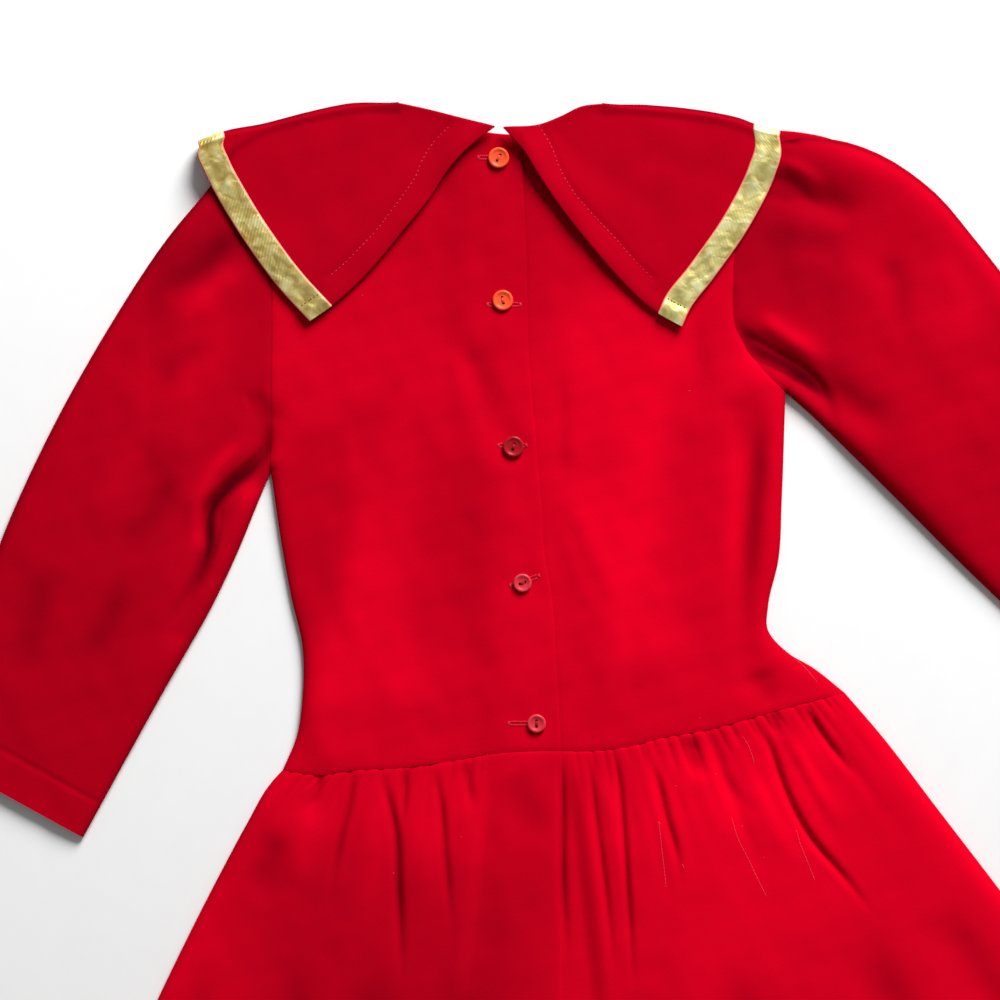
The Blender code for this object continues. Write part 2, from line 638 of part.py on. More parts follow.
def turn_depth(share):
    """Depth of the collar's half turn over the shoulder, shallow at the neck, where it meets the roll."""
    return TURN_DEPTH * (0.2 + 0.8 * smooth(share, 0, 0.25))


def collar_middle(shape):
    """Middle surface of a collar half: back rows, the turn over the shoulder, then front rows."""
    inward = np.array(shape.inward)
    field = np.array([0, 0.05, 0.16, 0.36, 0.6, 0.84, 1])
    back_rows = np.array([0, 0.06, 0.16, 0.3, 0.46, 0.64, 0.82, 0.94, 1])
    front_rows = np.array([0, 0.12, 0.34, 0.6, 0.84, 1])

    def columns(start, end, shares):
        """Shares along each row, the last ones set by the ribbon's width."""
        rows = []
        for share in shares:
            length = np.linalg.norm(end(share[None]) - start(share[None]))
            inner = 1 - RIBBON_WIDTH / length
            rows.append(np.concatenate([field * inner, [1 - RIBBON_WIDTH / length / 2, 1]]))
        return np.array(rows)

    shares = np.linspace(0, 1, len(shape.shoulder))
    shifted = [Place(*(np.array(place) + inward * turn_depth(share)))
               for place, share in zip(shape.shoulder, shares)]
    back_roll = curve(shape.roll[:-1] + (shifted[0],))
    back_outer = curve(shape.outer[:-1] + (shifted[-1],))
    across = columns(back_roll, back_outer, back_rows)
    down = np.broadcast_to(back_rows[:, None], across.shape)
    back = patch(curve(shape.centre), curve(shifted), back_roll, back_outer, across, down)
    back_height = collar_back_middle(back, across, down, shape.stand)
    front_roll = curve((shifted[0],) + shape.front_roll[1:])
    front_outer = curve((shifted[-1],) + shape.front_outer[1:])
    front_across = columns(front_roll, front_outer, front_rows)
    front_down = np.broadcast_to(front_rows[:, None], front_across.shape)
    front_edges = (curve(shifted), curve(shape.front_centre), front_roll, front_outer)
    front = patch(*front_edges, front_across, front_down)
    front_height = np.full(front.shape[:2], RIBBON_CLOTH + GAP + COLLAR_CLOTH / 2)
    rows = [np.dstack([back, back_height])]
    edge = back[-1]
    top = back_height[-1]
    floor = front_height[0]
    for angle in FOLD_TURNS:
        turn = math.radians(angle)
        plan = edge - inward * turn_depth(across[-1])[:, None] * math.sin(turn)
        height = (top + floor) / 2 + (top - floor) / 2 * math.cos(turn)
        rows.append(np.dstack([plan[None], height[None]]))
    rows.append(np.dstack([front, front_height]))
    return np.concatenate(rows)


def with_roll(middle):
    """The collar with a short lip at the neck, turned in over the cut edge of the bodice."""
    facing = normals(middle)
    facing *= np.sign(facing[0, 3, 2])
    reach = np.linalg.norm(middle[:, 1] - middle[:, 0], axis=-1, keepdims=True)
    outward = (middle[:, 0] - middle[:, 1]) / reach
    lip = middle[:, 0] - facing[:, 0] * LIP + outward * 0.1
    return np.concatenate([lip[:, None], middle], axis=1)


def add_collar(side, shape, cloth, lame, parent):
    """A collar half and the ribbon on its outer edge, made from the collar's own points."""
    middle = with_roll(collar_middle(shape))
    facing = normals(middle)
    facing *= np.sign(facing[0, 3, 2])
    half = COLLAR_CLOTH / 2
    add_wall("collar_" + side, middle - facing * half, middle + facing * half, cloth, parent)
    band = middle[:, -3:]
    out = facing[:, -3:]
    near = half + GAP
    add_wall("ribbon_" + side, band + out * near, band + out * (near + RIBBON_CLOTH), lame, parent)


def button_mesh(name, across):
    """A round button with a raised rim and a dished middle, standing on the plane z = 0."""
    radius = across / 2
    profile = (
        (0.0, 0.0), (radius - 1.2, 0.0), (radius - 0.3, 0.4), (radius, 1.2),
        (radius - 0.4, BUTTON_DEPTH - 0.2), (radius - 1.1, BUTTON_DEPTH),
        (radius - 1.9, BUTTON_DEPTH - 0.5), (0.0, BUTTON_DEPTH - 0.6),
    )
    steps = 20
    points = [(0, 0, profile[0][1])]
    for out, height in profile[1:-1]:
        for step in range(steps):
            turn = 2 * math.pi * step / steps
            points.append((out * math.cos(turn), out * math.sin(turn), height))
    points.append((0, 0, profile[-1][1]))
    faces = []
    for step in range(steps):
        beside = (step + 1) % steps
        faces.append((0, 1 + beside, 1 + step))
        for ring in range(len(profile) - 3):
            low = 1 + ring * steps
            faces.append((low + step, low + beside, low + steps + beside, low + steps + step))
        last = 1 + (len(profile) - 3) * steps
        faces.append((last + step, last + beside, len(points) - 1))
    mesh = bpy.data.meshes.new(name)
    mesh.from_pydata((np.array(points) * MM).tolist(), [], faces)
    return mesh


def hole_cutter(name, gap):
    """Two upright pins, the shape of a button's thread holes."""
    points = []
    faces = []
    sides = 8
    for middle in (-gap / 2, gap / 2):
        base = len(points)
        for height in (-1.0, BUTTON_DEPTH + 1.0):
            for step in range(sides):
                turn = 2 * math.pi * step / sides
                points.append((middle + BUTTON_HOLE * math.cos(turn), BUTTON_HOLE * math.sin(turn), height))
        faces.append(tuple(base + step for step in reversed(range(sides))))
        faces.append(tuple(base + sides + step for step in range(sides)))
        for step in range(sides):
            beside = (step + 1) % sides
            faces.append((base + step, base + beside, base + sides + beside, base + sides + step))
    mesh = bpy.data.meshes.new(name)
    mesh.from_pydata((np.array(points) * MM).tolist(), [], faces)
    return mesh


def add_button(number, button, material, parent):
    """A button seated on the upper lap, with its two thread holes cut through."""
    turns = np.linspace(0, 2 * math.pi, 24)
    centre = np.array([button.x, button.y])
    ring = centre + button.across / 2 * np.stack([np.cos(turns), np.sin(turns)], axis=-1)
    under = np.concatenate([ring, centre[None]])[None]
    seat = (back_low(under) + lap_lift(under)).max() + CLOTH + GAP
    name = "button_" + str(number)
    mesh = button_mesh(name, button.across)
    mesh.materials.append(material)
    mesh.shade_smooth()
    mesh.set_sharp_from_angle(angle=math.radians(40))
    piece = bpy.data.objects.new(name, mesh)
    pins = bpy.data.objects.new(name + "_pins", hole_cutter(name + "_pins", button.hole_gap))
    for thing in (piece, pins):
        thing.location = (button.x * MM, button.y * MM, seat * MM)
        thing.rotation_euler = (0, 0, math.radians(button.turn))
        thing.parent = parent
        bpy.context.scene.collection.objects.link(thing)
    pins.hide_render = True
    pins.display_type = "WIRE"
    holes = piece.modifiers.new("thread_holes", "BOOLEAN")
    holes.object = pins
    holes.operation = "DIFFERENCE"
    return piece


def centre_on_floor(parent):
    """Move the dress so that its middle stands over the origin, with its underside at zero."""
    bpy.context.view_layer.update()
    corners = []
    for piece in parent.children:
        if not piece.hide_render:
            corners += [piece.matrix_world @ vertex.co for vertex in piece.data.vertices]
    corners = np.array(corners)
    low = corners.min(axis=0)
    high = corners.max(axis=0)
    parent.location = (-(low[0] + high[0]) / 2, -(low[1] + high[1]) / 2, -low[2])


def build():
    """Make every piece of the dress."""
    clear_scene()
    dress = bpy.data.objects.new("dress", None)
    bpy.context.scene.collection.objects.link(dress)
    velveteen = finish("red_velveteen", (0.60, 0.0, 0.012), 0.85)
    lame = finish("gold_lame_ribbon", (0.66, 0.52, 0.16), 0.38, 0.6)
    coral = finish("coral_button", (0.87, 0.10, 0.05), 0.35)
    red = finish("red_button", (0.42, 0.01, 0.02), 0.35)
    front = front_bodice_plan()
    add_panel("front_bodice", front, front_low(front), velveteen, dress)
    left = back_bodice_plan("left")
    add_panel("back_bodice_left", left, back_low(left) + lap_lift(left), velveteen, dress)
    right = back_bodice_plan("right")
    add_panel("back_bodice_right", right, back_low(right), velveteen, dress)
    add_front_skirt(front, velveteen, dress)
    add_panel("back_skirt_left", *back_skirt("left", left), velveteen, dress)
    add_panel("back_skirt_right", *back_skirt("right", right), velveteen, dress)
    left_sleeve = sleeve_plan(LEFT_ARMHOLE, LEFT_SLEEVE_OUTER, LEFT_SLEEVE_INNER)
    add_sleeve("sleeve_left", left_sleeve, velveteen, dress)
    right_sleeve = sleeve_plan(RIGHT_ARMHOLE, RIGHT_SLEEVE_OUTER, RIGHT_SLEEVE_INNER)
    add_sleeve("sleeve_right", right_sleeve, velveteen, dress)
    add_collar("left", LEFT_COLLAR, velveteen, lame, dress)
    add_collar("right", RIGHT_COLLAR, velveteen, lame, dress)
    for number, button in enumerate(BUTTONS, start=1):
        add_button(number, button, coral if button.colour == "coral" else red, dress)
    centre_on_floor(dress)


build()
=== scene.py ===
# %% [markdown]
# # A child's party dress in red velveteen
#
# The real dress is cotton velveteen, cut in flat panels and sewn: two back halves that lap and button,
# a front, a gathered skirt on a dropped waist, long sleeves and a large pointed collar edged in gold
# ribbon. It lies face down, so we look at its back. This lesson dresses the plain solids of the packed
# model: each cloth panel is made again as a thin, finely divided shell with its creases and gathers,
# and the sewing, the buttons' finish and the ribbon's shine are added on top.

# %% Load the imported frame
import math
from collections import namedtuple

import bpy
import numpy as np
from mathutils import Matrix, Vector

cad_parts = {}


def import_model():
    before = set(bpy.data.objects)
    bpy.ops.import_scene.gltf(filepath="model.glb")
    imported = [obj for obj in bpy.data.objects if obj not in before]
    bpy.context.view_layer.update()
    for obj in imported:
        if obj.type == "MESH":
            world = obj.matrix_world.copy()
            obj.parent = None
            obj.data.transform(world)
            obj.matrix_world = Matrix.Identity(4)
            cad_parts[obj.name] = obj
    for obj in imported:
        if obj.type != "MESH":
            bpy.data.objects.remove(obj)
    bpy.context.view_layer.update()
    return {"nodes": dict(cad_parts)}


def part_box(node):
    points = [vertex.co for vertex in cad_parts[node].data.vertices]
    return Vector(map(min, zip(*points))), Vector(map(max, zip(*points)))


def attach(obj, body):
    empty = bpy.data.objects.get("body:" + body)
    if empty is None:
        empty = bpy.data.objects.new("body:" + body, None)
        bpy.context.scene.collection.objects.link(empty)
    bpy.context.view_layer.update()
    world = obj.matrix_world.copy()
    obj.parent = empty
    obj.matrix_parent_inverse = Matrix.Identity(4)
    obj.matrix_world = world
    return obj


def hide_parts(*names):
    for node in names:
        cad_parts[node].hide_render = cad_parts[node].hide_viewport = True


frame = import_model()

print("frame holds", len(frame["nodes"]), "nodes")

# %% [markdown]
# ## Where things are
#
# The dress is drawn in millimetres on a plane with its zero at the top of the centre back. The packed
# model has its zero under the middle of the whole dress instead. The first button is known in both, so
# the difference between its two centres moves every point that follows.

# %% Millimetres of the pattern to metres of the frame
MM = 0.001
FIRST_BUTTON = (0.9, -16.4)
low_corner, high_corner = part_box("button_1")
SHIFT = np.array([
    (low_corner.x + high_corner.x) / 2 / MM - FIRST_BUTTON[0],
    (low_corner.y + high_corner.y) / 2 / MM - FIRST_BUTTON[1],
    0.0,
])


def world(points):
    """Points of the pattern, in millimetres, as metres of the frame."""
    return (np.asarray(points, float) + SHIFT) * MM


print("pattern moved by", SHIFT.round(2), "mm")

# %% [markdown]
# ## Camera
#
# The photograph was taken from straight above, from about two metres. A real camera at that distance
# sees 580 mm across the dress, measured at the height of its cloth, and the focal length follows from
# those sizes and from the width of the sensor, so nothing has to be fitted by eye.

# %% Camera
FRAME_WIDTH = 580.0
FRAME_MIDDLE = (1.7, -214.6)
CAMERA_HEIGHT = 2000.0
CLOTH_HEIGHT = 7.0
SENSOR = 36.0

camera_data = bpy.data.cameras.new("overhead_camera")
camera_data.sensor_width = SENSOR
camera_data.lens = SENSOR * (CAMERA_HEIGHT - CLOTH_HEIGHT) / FRAME_WIDTH
camera = bpy.data.objects.new("overhead_camera", camera_data)
camera.location = world((*FRAME_MIDDLE, CAMERA_HEIGHT))
bpy.context.scene.collection.objects.link(camera)
bpy.context.scene.camera = camera
print("lens", round(camera_data.lens, 1), "mm")

# %% [markdown]
# ## Light and floor
#
# A white room gives soft light from everywhere, and one large soft box above the upper right gives the
# gentle shadows below and to the left of each edge. The plain sRGB view keeps the deep red as it is,
# where a film-like view would wash it out.

# %% Light and floor
ROOM_LIGHT = 0.2
SOFT_BOX_POWER = 196.0
SOFT_BOX_SIZE = 1.7
SOFT_BOX_PLACE = (1050.0, 2350.0, 1520.0)

bpy.context.scene.view_settings.view_transform = "Standard"

room = bpy.data.worlds.new("white_room")
room.use_nodes = True
room.node_tree.nodes["Background"].inputs["Color"].default_value = (1, 1, 1, 1)
room.node_tree.nodes["Background"].inputs["Strength"].default_value = ROOM_LIGHT
bpy.context.scene.world = room

soft_box_data = bpy.data.lights.new("soft_box", "AREA")
soft_box_data.shape = "DISK"
soft_box_data.size = SOFT_BOX_SIZE
soft_box_data.energy = SOFT_BOX_POWER
soft_box = bpy.data.objects.new("soft_box", soft_box_data)
soft_box.location = world(SOFT_BOX_PLACE)
aim = Vector(world((*FRAME_MIDDLE, 0))) - soft_box.location
soft_box.rotation_euler = aim.to_track_quat("-Z", "Y").to_euler()
bpy.context.scene.collection.objects.link(soft_box)
print("soft box", round(aim.length, 2), "m from the dress")

# %% [markdown]
# ## Colours and nodes
#
# Colours are written as the hex values that a screen shows. Blender's shaders work in linear light, so
# one function turns hex to linear. A second small function adds any shader node with its settings and
# its links, which keeps every material below short enough to read.

# %% Helpers for materials
def linear(code):
    """A hex colour such as #c00020 as linear red, green, blue and alpha."""
    channels = [int(code[place:place + 2], 16) / 255 for place in (1, 3, 5)]
    return [c / 12.92 if c <= 0.04045 else ((c + 0.055) / 1.055) ** 2.4 for c in channels] + [1.0]


def add_node(material, kind, settings=None, **inputs):
    """Add a shader node of a kind, give it settings, and set or link its inputs by name or number."""
    node = material.node_tree.nodes.new("ShaderNode" + kind)
    for name, value in (settings or {}).items():
        setattr(node, name, value)
    for name, value in inputs.items():
        place = int(name[2:]) if name.startswith("in") else name.replace("_", " ")
        socket = node.inputs[place]
        if isinstance(value, bpy.types.NodeSocket):
            material.node_tree.links.new(value, socket)
        else:
            socket.default_value = value
    return node


def new_material(name, **sockets):
    """An empty Principled material, with the values that are the same all over it."""
    material = bpy.data.materials.new(name)
    material.use_nodes = True
    shader = material.node_tree.nodes["Principled BSDF"]
    for socket, value in sockets.items():
        shader.inputs[socket.replace("_", " ")].default_value = value
    return material, shader


def link(material, source, target):
    """Link an output of one node to an input of another."""
    material.node_tree.links.new(source, target)


def per_mm(size):
    """Scale of a pattern on object coordinates, in metres, whose features are a size in millimetres."""
    return 1 / (size * MM)


def waves_every(pitch):
    """Scale of a wave texture, in metres, whose bands are a pitch in millimetres apart."""
    return 2 * math.pi / 20 / pitch * 1000


print("#c8001e is", [round(c, 4) for c in linear("#c8001e")])

# %% The floor
FLOOR_HALF = 2500.0
FLOOR_DROP = 0.2
PAPER_FIBRE = 3.0

floor_material, floor_shader = new_material("matt_white_paper", Roughness=0.95, Specular_IOR_Level=0.1)
floor_mesh = bpy.data.meshes.new("floor")
floor_corners = np.array([(-1, -1), (1, -1), (1, 1), (-1, 1)]) * FLOOR_HALF
floor_points = [(x * MM, y * MM, -FLOOR_DROP * MM) for x, y in floor_corners]
floor_mesh.from_pydata(floor_points, [], [(0, 1, 2, 3)])
floor = bpy.data.objects.new("floor", floor_mesh)
bpy.context.scene.collection.objects.link(floor)
fibre = add_node(floor_material, "TexNoise", Scale=per_mm(PAPER_FIBRE), Detail=3.0)
tint = add_node(floor_material, "Mix", {"data_type": "RGBA"}, in0=fibre.outputs["Fac"],
                in6=linear("#f3f3f3"), in7=linear("#f7f7f7"))
link(floor_material, tint.outputs[2], floor_shader.inputs["Base Color"])
floor_mesh.materials.append(floor_material)
print("floor is", 2 * FLOOR_HALF * MM, "m wide, of matt white paper")

# %% [markdown]
# ## The pattern
#
# These are the sizes that the solids were made from, in millimetres: cloth thickness, the air that the
# two layers of the laid dress hold, the overlap at the centre back, and the outline seam by seam. The
# finer shells below are worked out from the same sizes, so each one lies on its own solid.

# %% Sizes of the cloth
# Thickness of each cloth and the room left between two layers
CLOTH = 1.2
COLLAR_CLOTH = 1.6
RIBBON_CLOTH = 0.8
GAP = 0.3

# The front collar and its ribbon lie under the front bodice and lift it by their own stack
COLLAR_STACK = RIBBON_CLOTH + GAP + COLLAR_CLOTH + GAP
COLLAR_MIDDLE = -4.5
COLLAR_REACH = 174.0
COLLAR_DROP = -136.0
STACK_RAMP = 26.0
EASED_RAMP = 120.0

# Air between the front and back layers, and how soon it builds up inside a folded edge
NECK_AIR = 1.8
BODY_AIR = 3.4
SLEEVE_AIR = 7.5
CUFF_AIR = 2.2
SKIRT_AIR = 3.4
NECK_BLEND = (10, 130)
WAIST_BLEND = (340, 380)
EDGE_ROLL = 5.0
EDGE_POWER = 0.7

# Centre-back lap: half its width, the lift that one layer of cloth needs, and how softly it rises
LAP_HALF = 14.0
LAP_LIFT = CLOTH + GAP + 0.25
LAP_RISE = 24.0

RIBBON_WIDTH = 16.0
BUTTON_HOLE = 0.9
BUTTON_DEPTH = 2.2

print("front collar lifts the bodice", round(COLLAR_STACK, 1), "mm")

# %% Buttons, and the outline of the body
Place = namedtuple("Place", "x y")
Button = namedtuple("Button", "x y across hole_gap turn colour")


def table(kind, *rows):
    """Rows of a table, such as the places of a seam, with named columns."""
    return tuple(kind(*row) for row in rows)


# Line of the buttons, from the neck down to the hem
BUTTON_LINE = table(Place, (0, 0), (3, -99), (9, -184), (15, -263), (23, -344), (25, -380), (26, -700))

BUTTONS = table(Button,
    (0.9, -16.4, 12.1, 3.6, 60, "coral"),
    (3.3, -99.0, 11.9, 3.3, 102, "coral"),
    (9.5, -183.7, 12.2, 3.2, 75, "red"),
    (14.7, -262.7, 10.8, 3.0, 20, "red"),
    (22.9, -344.2, 10.8, 3.2, 90, "red"))

# Shoulders, armholes and sides of the body
LEFT_SHOULDER = table(Place, (-57, 10.5), (-74, 10.8), (-91, 9.0), (-111, 4.7), (-132, -0.8))
LEFT_ARMHOLE = table(Place, (-132, -0.8), (-130.5, -60), (-130.5, -122), (-131.4, -198))
LEFT_SIDE = table(Place,
    (-131.4, -198), (-125, -241), (-119.5, -271), (-113, -300), (-113, -330), (-116, -351),
    (-124.4, -371.6))
RIGHT_SHOULDER = table(Place, (62, 9.6), (78, 9.4), (109, 7), (127, 4.2), (143, 0))
RIGHT_ARMHOLE = table(Place,
    (143, 0), (140, -45), (137, -85), (138.5, -115), (151.6, -136), (167.5, -152.5))
RIGHT_SIDE = table(Place,
    (167.5, -152.5), (165.4, -214), (163.5, -249), (157.5, -276), (157, -289), (169, -303.5), (183, -311.8),
    (201.8, -326.6))

print("shoulders are", RIGHT_SHOULDER[-1].x - LEFT_SHOULDER[-1].x, "mm apart")

# %% Outline of the sleeves
LEFT_SLEEVE_OUTER = table(Place,
    (-132.4, -1), (-150, -10), (-166.5, -33), (-193, -66), (-228, -120), (-262, -182), (-290, -245),
    (-309, -305), (-321.6, -366))
LEFT_SLEEVE_INNER = table(Place,
    (-131.9, -198.6), (-139, -215.5), (-153, -249), (-164, -272), (-193, -323), (-241, -410.5))
RIGHT_SLEEVE_OUTER = table(Place,
    (143.4, -0.4), (163, -6.6), (178, -4.6), (196, -6.2), (226, -17), (254, -37), (278, -65), (318, -118),
    (352, -168), (385, -215), (414.3, -260))
RIGHT_SLEEVE_INNER = table(Place,
    (168.2, -152.4), (182, -164.4), (196, -177.8), (230, -211), (268, -249), (310, -289), (350.8, -326.2))

# Where each sleeve's own air starts, beside the body and above the line to the skirt
Arm = namedtuple("Arm", "side starts line_y slope head_x head_y cuff_x cuff_y")
ARM_BLEND = 50.0
ARM_LINE_BLEND = (-10.0, 20.0)
ARMS = table(Arm,
    (-1, 150, -326, 1.2, -150, -50, -281, -388),
    (1, 165, -225, 0.75, 150, -60, 382, -293))

print("left sleeve's outer edge ends at", LEFT_SLEEVE_OUTER[-1])

# %% Necks, waist, hem and laps
# Neck edges of the back and front bodice
BACK_NECK_LEFT = table(Place, (-57, 10.5), (-39, 7), (-20, 2), (-3, -1.8), (14, -3))
BACK_NECK_RIGHT = table(Place, (-14, -0.6), (5, -3), (24, -1.6), (38, 3.4), (49, 7.6), (62, 9.6))
FRONT_NECK = table(Place, (-57, 10.5), (-48, -20), (-25, -41), (2, -48), (28, -41), (52, -20), (62, 9.6))

# Dropped waist seam, hem and the skirt's side folds
WAIST_SEAM = table(Place,
    (-124.4, -371.6), (-102.7, -374.6), (-84.7, -371.8), (-52.8, -370), (-22, -365.4), (1.7, -361.6),
    (35.4, -360.2), (53.4, -360.3), (76.6, -357.6), (91.1, -353.8), (125.9, -347.2), (162.4, -337),
    (201.8, -326.6))
HEM = table(Place,
    (-256, -640), (-190, -655), (-80, -666), (25, -668), (150, -655), (280, -617), (378.7, -566))
LEFT_SKIRT_SIDE = table(Place,
    (-124.4, -371.6), (-131, -378.6), (-145, -402.3), (-160.4, -431), (-200, -511), (-230, -578),
    (-256, -640))
RIGHT_SKIRT_SIDE = table(Place,
    (201.8, -326.6), (222, -350), (255, -393), (300, -452), (345, -515), (378.7, -566))

# Edges of the back opening: the upper lap's, the lower lap's and where each ends at the hem
LAP_EDGE = table(Place,
    (14, -3), (16.5, -60), (18.6, -133.4), (22.6, -181.5), (25.5, -217), (27.8, -249), (31.3, -268),
    (34.2, -308.6), (37.2, -360.2))
UNDER_EDGE = table(Place, (-14, -0.6), (-11, -99), (-4.5, -184), (0.7, -263), (9, -361.2))
SKIRT_LAP_FOOT = Place(40, -668)
SKIRT_UNDER_FOOT = Place(12, -668)

print("waist seam runs", WAIST_SEAM[-1].x - WAIST_SEAM[0].x, "mm across")

# %% Collar halves: roll line at the neck, centre-back edge, fold over the shoulder and outer edge
Collar = namedtuple("Collar", "roll centre shoulder outer inward front_roll front_centre front_outer stand")
LEFT_COLLAR = Collar(
    roll=table(Place, (-1.6, 0.8), (-20, 5.6), (-39.4, 10.8), (-57.5, 15.4)),
    centre=table(Place,
        (-1.6, 0.8), (-14.8, -9.2), (-29.1, -24.7), (-39.4, -40.3), (-55.1, -59.7), (-79.6, -88.2),
        (-95.8, -102.4), (-108.6, -111.2)),
    shoulder=table(Place,
        (-57.5, 15.4), (-74.4, 15.7), (-91.2, 14), (-110.8, 9.6), (-136.5, 3), (-158.5, -1.4), (-173, -7.4)),
    outer=table(Place,
        (-108.6, -111.2), (-126.9, -91.1), (-143, -69.5), (-159.3, -43.8), (-170.4, -22.6), (-173.4, -14.5),
        (-173, -7.4)),
    inward=Place(0.19, -0.98),
    front_roll=table(Place, (-57.5, 15.4), (-44, -17), (-23, -36), (-1, -43)),
    front_centre=table(Place, (-1, -43), (-45, -84), (-92, -117)),
    front_outer=table(Place, (-173, -7.4), (-150, -55), (-125, -86), (-92, -117)),
    stand=2.2,
)
RIGHT_COLLAR = Collar(
    roll=table(Place, (3.8, 0.2), (24.4, 2), (38, 7.3), (49, 12.6), (61.3, 14.9)),
    centre=table(Place,
        (3.8, 0.2), (16, -13.6), (24, -26.7), (30.4, -36.5), (51.6, -64.4), (65.5, -80.8), (92.1, -106),
        (107, -114.3)),
    shoulder=table(Place,
        (61.3, 14.9), (77.7, 14.3), (109, 12.1), (127, 9.4), (140.7, 6.3), (150.2, 2.7), (164, -1.2)),
    outer=table(Place,
        (107, -114.3), (110.6, -106), (125.4, -86.2), (148.5, -52.2), (160.8, -26.7), (164.6, -13.9),
        (164, -1.2)),
    inward=Place(-0.13, -0.99),
    front_roll=table(Place, (61.3, 14.9), (49, -17), (28, -36), (4, -43)),
    front_centre=table(Place, (4, -43), (48, -84), (100, -115)),
    front_outer=table(Place, (164, -1.2), (150, -45), (128, -82), (100, -115)),
    stand=3.2,
)

print("collar stands off its free edge by", LEFT_COLLAR.stand, "and", RIGHT_COLLAR.stand, "mm")

# %% Main folds and gathers
Fold = namedtuple("Fold", "x1 y1 x2 y2 rise width")
Gather = namedtuple("Gather", "x depth reach")

# Largest soft folds of the back layer: a rise below zero is a trough
FOLDS = table(Fold,
    (141, -165, 146, -320, -1.5, 9),
    (-12, -135, 7, -182, -1.0, 9),
    (-133, -168, -139, -205, -2.6, 9),
    (-139, -205, -166, -232, -2.6, 9),
    (-168, -225, -186, -290, -2.2, 10),
    (-160, -75, -196, -175, 2.0, 22),
    (152, -129, 215, -167, -3.2, 11),
    (158, -34, 198, -46, -2.4, 9),
    (176, -12, 214, -24, 1.6, 12),
    (180, -72, 262, -128, 1.8, 20),
    (-118, -300, -100, -362, 1.2, 12),
    (60, -225, 78, -345, 0.8, 22))

# Gathers under the waist seam, from left to right: place on the seam, depth and reach down the skirt
LEFT_GATHERS = table(Gather,
    (-117, 2.2, 0.9), (-109, 1.5, 0.3), (-101, 2.6, 0.55), (-94, 1.6, 0.25), (-87, 2.9, 1.0),
    (-78, 2.0, 0.35), (-69, 2.5, 0.7), (-60, 1.9, 0.3), (-52, 3.1, 1.0), (-43, 2.2, 0.4), (-34, 2.7, 0.65),
    (-26, 1.7, 0.25), (-17, 2.4, 0.9), (-9, 1.5, 0.3))
RIGHT_GATHERS = table(Gather,
    (46, 2.0, 0.3), (53, 3.0, 0.85), (60, 1.9, 0.25), (68, 2.4, 0.45), (77, 3.4, 1.0), (86, 2.1, 0.35),
    (93, 2.7, 0.7), (101, 1.8, 0.25), (110, 2.6, 0.5), (119, 3.0, 1.0), (127, 2.0, 0.35), (136, 2.5, 0.6),
    (146, 2.1, 0.3), (155, 3.3, 1.0), (163, 2.4, 0.5), (171, 1.9, 0.3), (180, 2.9, 0.9), (191, 2.1, 0.5))
GATHER_BULGE = 3.2
GATHER_WIDTH = 2.4
GATHER_SPREAD = 5.0

print(len(LEFT_GATHERS) + len(RIGHT_GATHERS), "main gathers")

# %% [markdown]
# ## Curves and patches
#
# Each seam is a smooth curve through a few points, and each panel is the patch that its four seams
# span. A patch of shares across and down gives a grid of places on the pattern as fine as is needed.

# %% Curves through the points of a seam
def smooth(value, low, high):
    """0 below low, 1 above high, and an even S between them."""
    share = np.clip((value - low) / (high - low), 0, 1)
    return share * share * (3 - 2 * share)


def curve(points):
    """A smooth curve through the points, as a function of the share of its length."""
    knots = np.array(points, float)
    steps = np.linalg.norm(np.diff(knots, axis=0), axis=1)
    reached = np.concatenate([[0], np.cumsum(steps)])
    slopes = np.gradient(knots, reached, axis=0)

    def place(share):
        where = np.clip(share, 0, 1) * reached[-1]
        first = np.clip(np.searchsorted(reached, where, side="right") - 1, 0, len(steps) - 1)
        span = steps[first][..., None]
        t = (where - reached[first])[..., None] / span
        start = knots[first] * (1 + 2 * t) * (1 - t) ** 2 + slopes[first] * span * t * (1 - t) ** 2
        end = knots[first + 1] * (3 - 2 * t) * t ** 2 + slopes[first + 1] * span * (t - 1) * t ** 2
        return start + end

    return place


print("the waist seam's middle is at", curve(WAIST_SEAM)(np.array(0.5)).round(1))


# %% Joined seams, stretches of seams, and patches between them
def joined(first, second, share):
    """Two curves that meet at a corner, as one, with the corner at the given share."""
    def place(at):
        before = first(np.minimum(at / share, 1))
        after = second(np.maximum((at - share) / (1 - share), 0))
        return np.where((at <= share)[..., None], before, after)

    return place


def part_of(whole, start, end):
    """The stretch of a curve between two shares."""
    return lambda at: whole(start + (end - start) * at)


def share_at_x(whole, x):
    """The share of a curve at which it reaches x, on a curve that runs one way in x."""
    shares = np.linspace(0, 1, 401)
    return np.interp(x, whole(shares)[:, 0], shares)


def patch(top, bottom, left, right, across, down):
    """Plan places inside four boundary curves, for grids of shares across and down."""
    across, down = np.broadcast_arrays(across, down)
    u = across[..., None]
    v = down[..., None]
    ends = np.array([0.0, 1.0])
    (top_left, top_right), (low_left, low_right) = top(ends), bottom(ends)
    ruled = (1 - v) * top(across) + v * bottom(across) + (1 - u) * left(down) + u * right(down)
    corners = (1 - v) * ((1 - u) * top_left + u * top_right) + v * ((1 - u) * low_left + u * low_right)
    return ruled - corners


def grid(across, down):
    """Grids of shares, a row for each value of down."""
    return np.meshgrid(np.array(across, float), np.array(down, float))


lap_share = share_at_x(curve(WAIST_SEAM), LAP_EDGE[-1].x)
print("the lap meets the waist seam at", lap_share.round(3), "of its length")

# %% [markdown]
# ## Height of the cloth
#
# The dress lies flat, so its form is a height above each place of the pattern: the front layer is on
# the floor, the back layer is a little above it, and both meet at the side folds. Main folds are added
# here as they are in the solids.

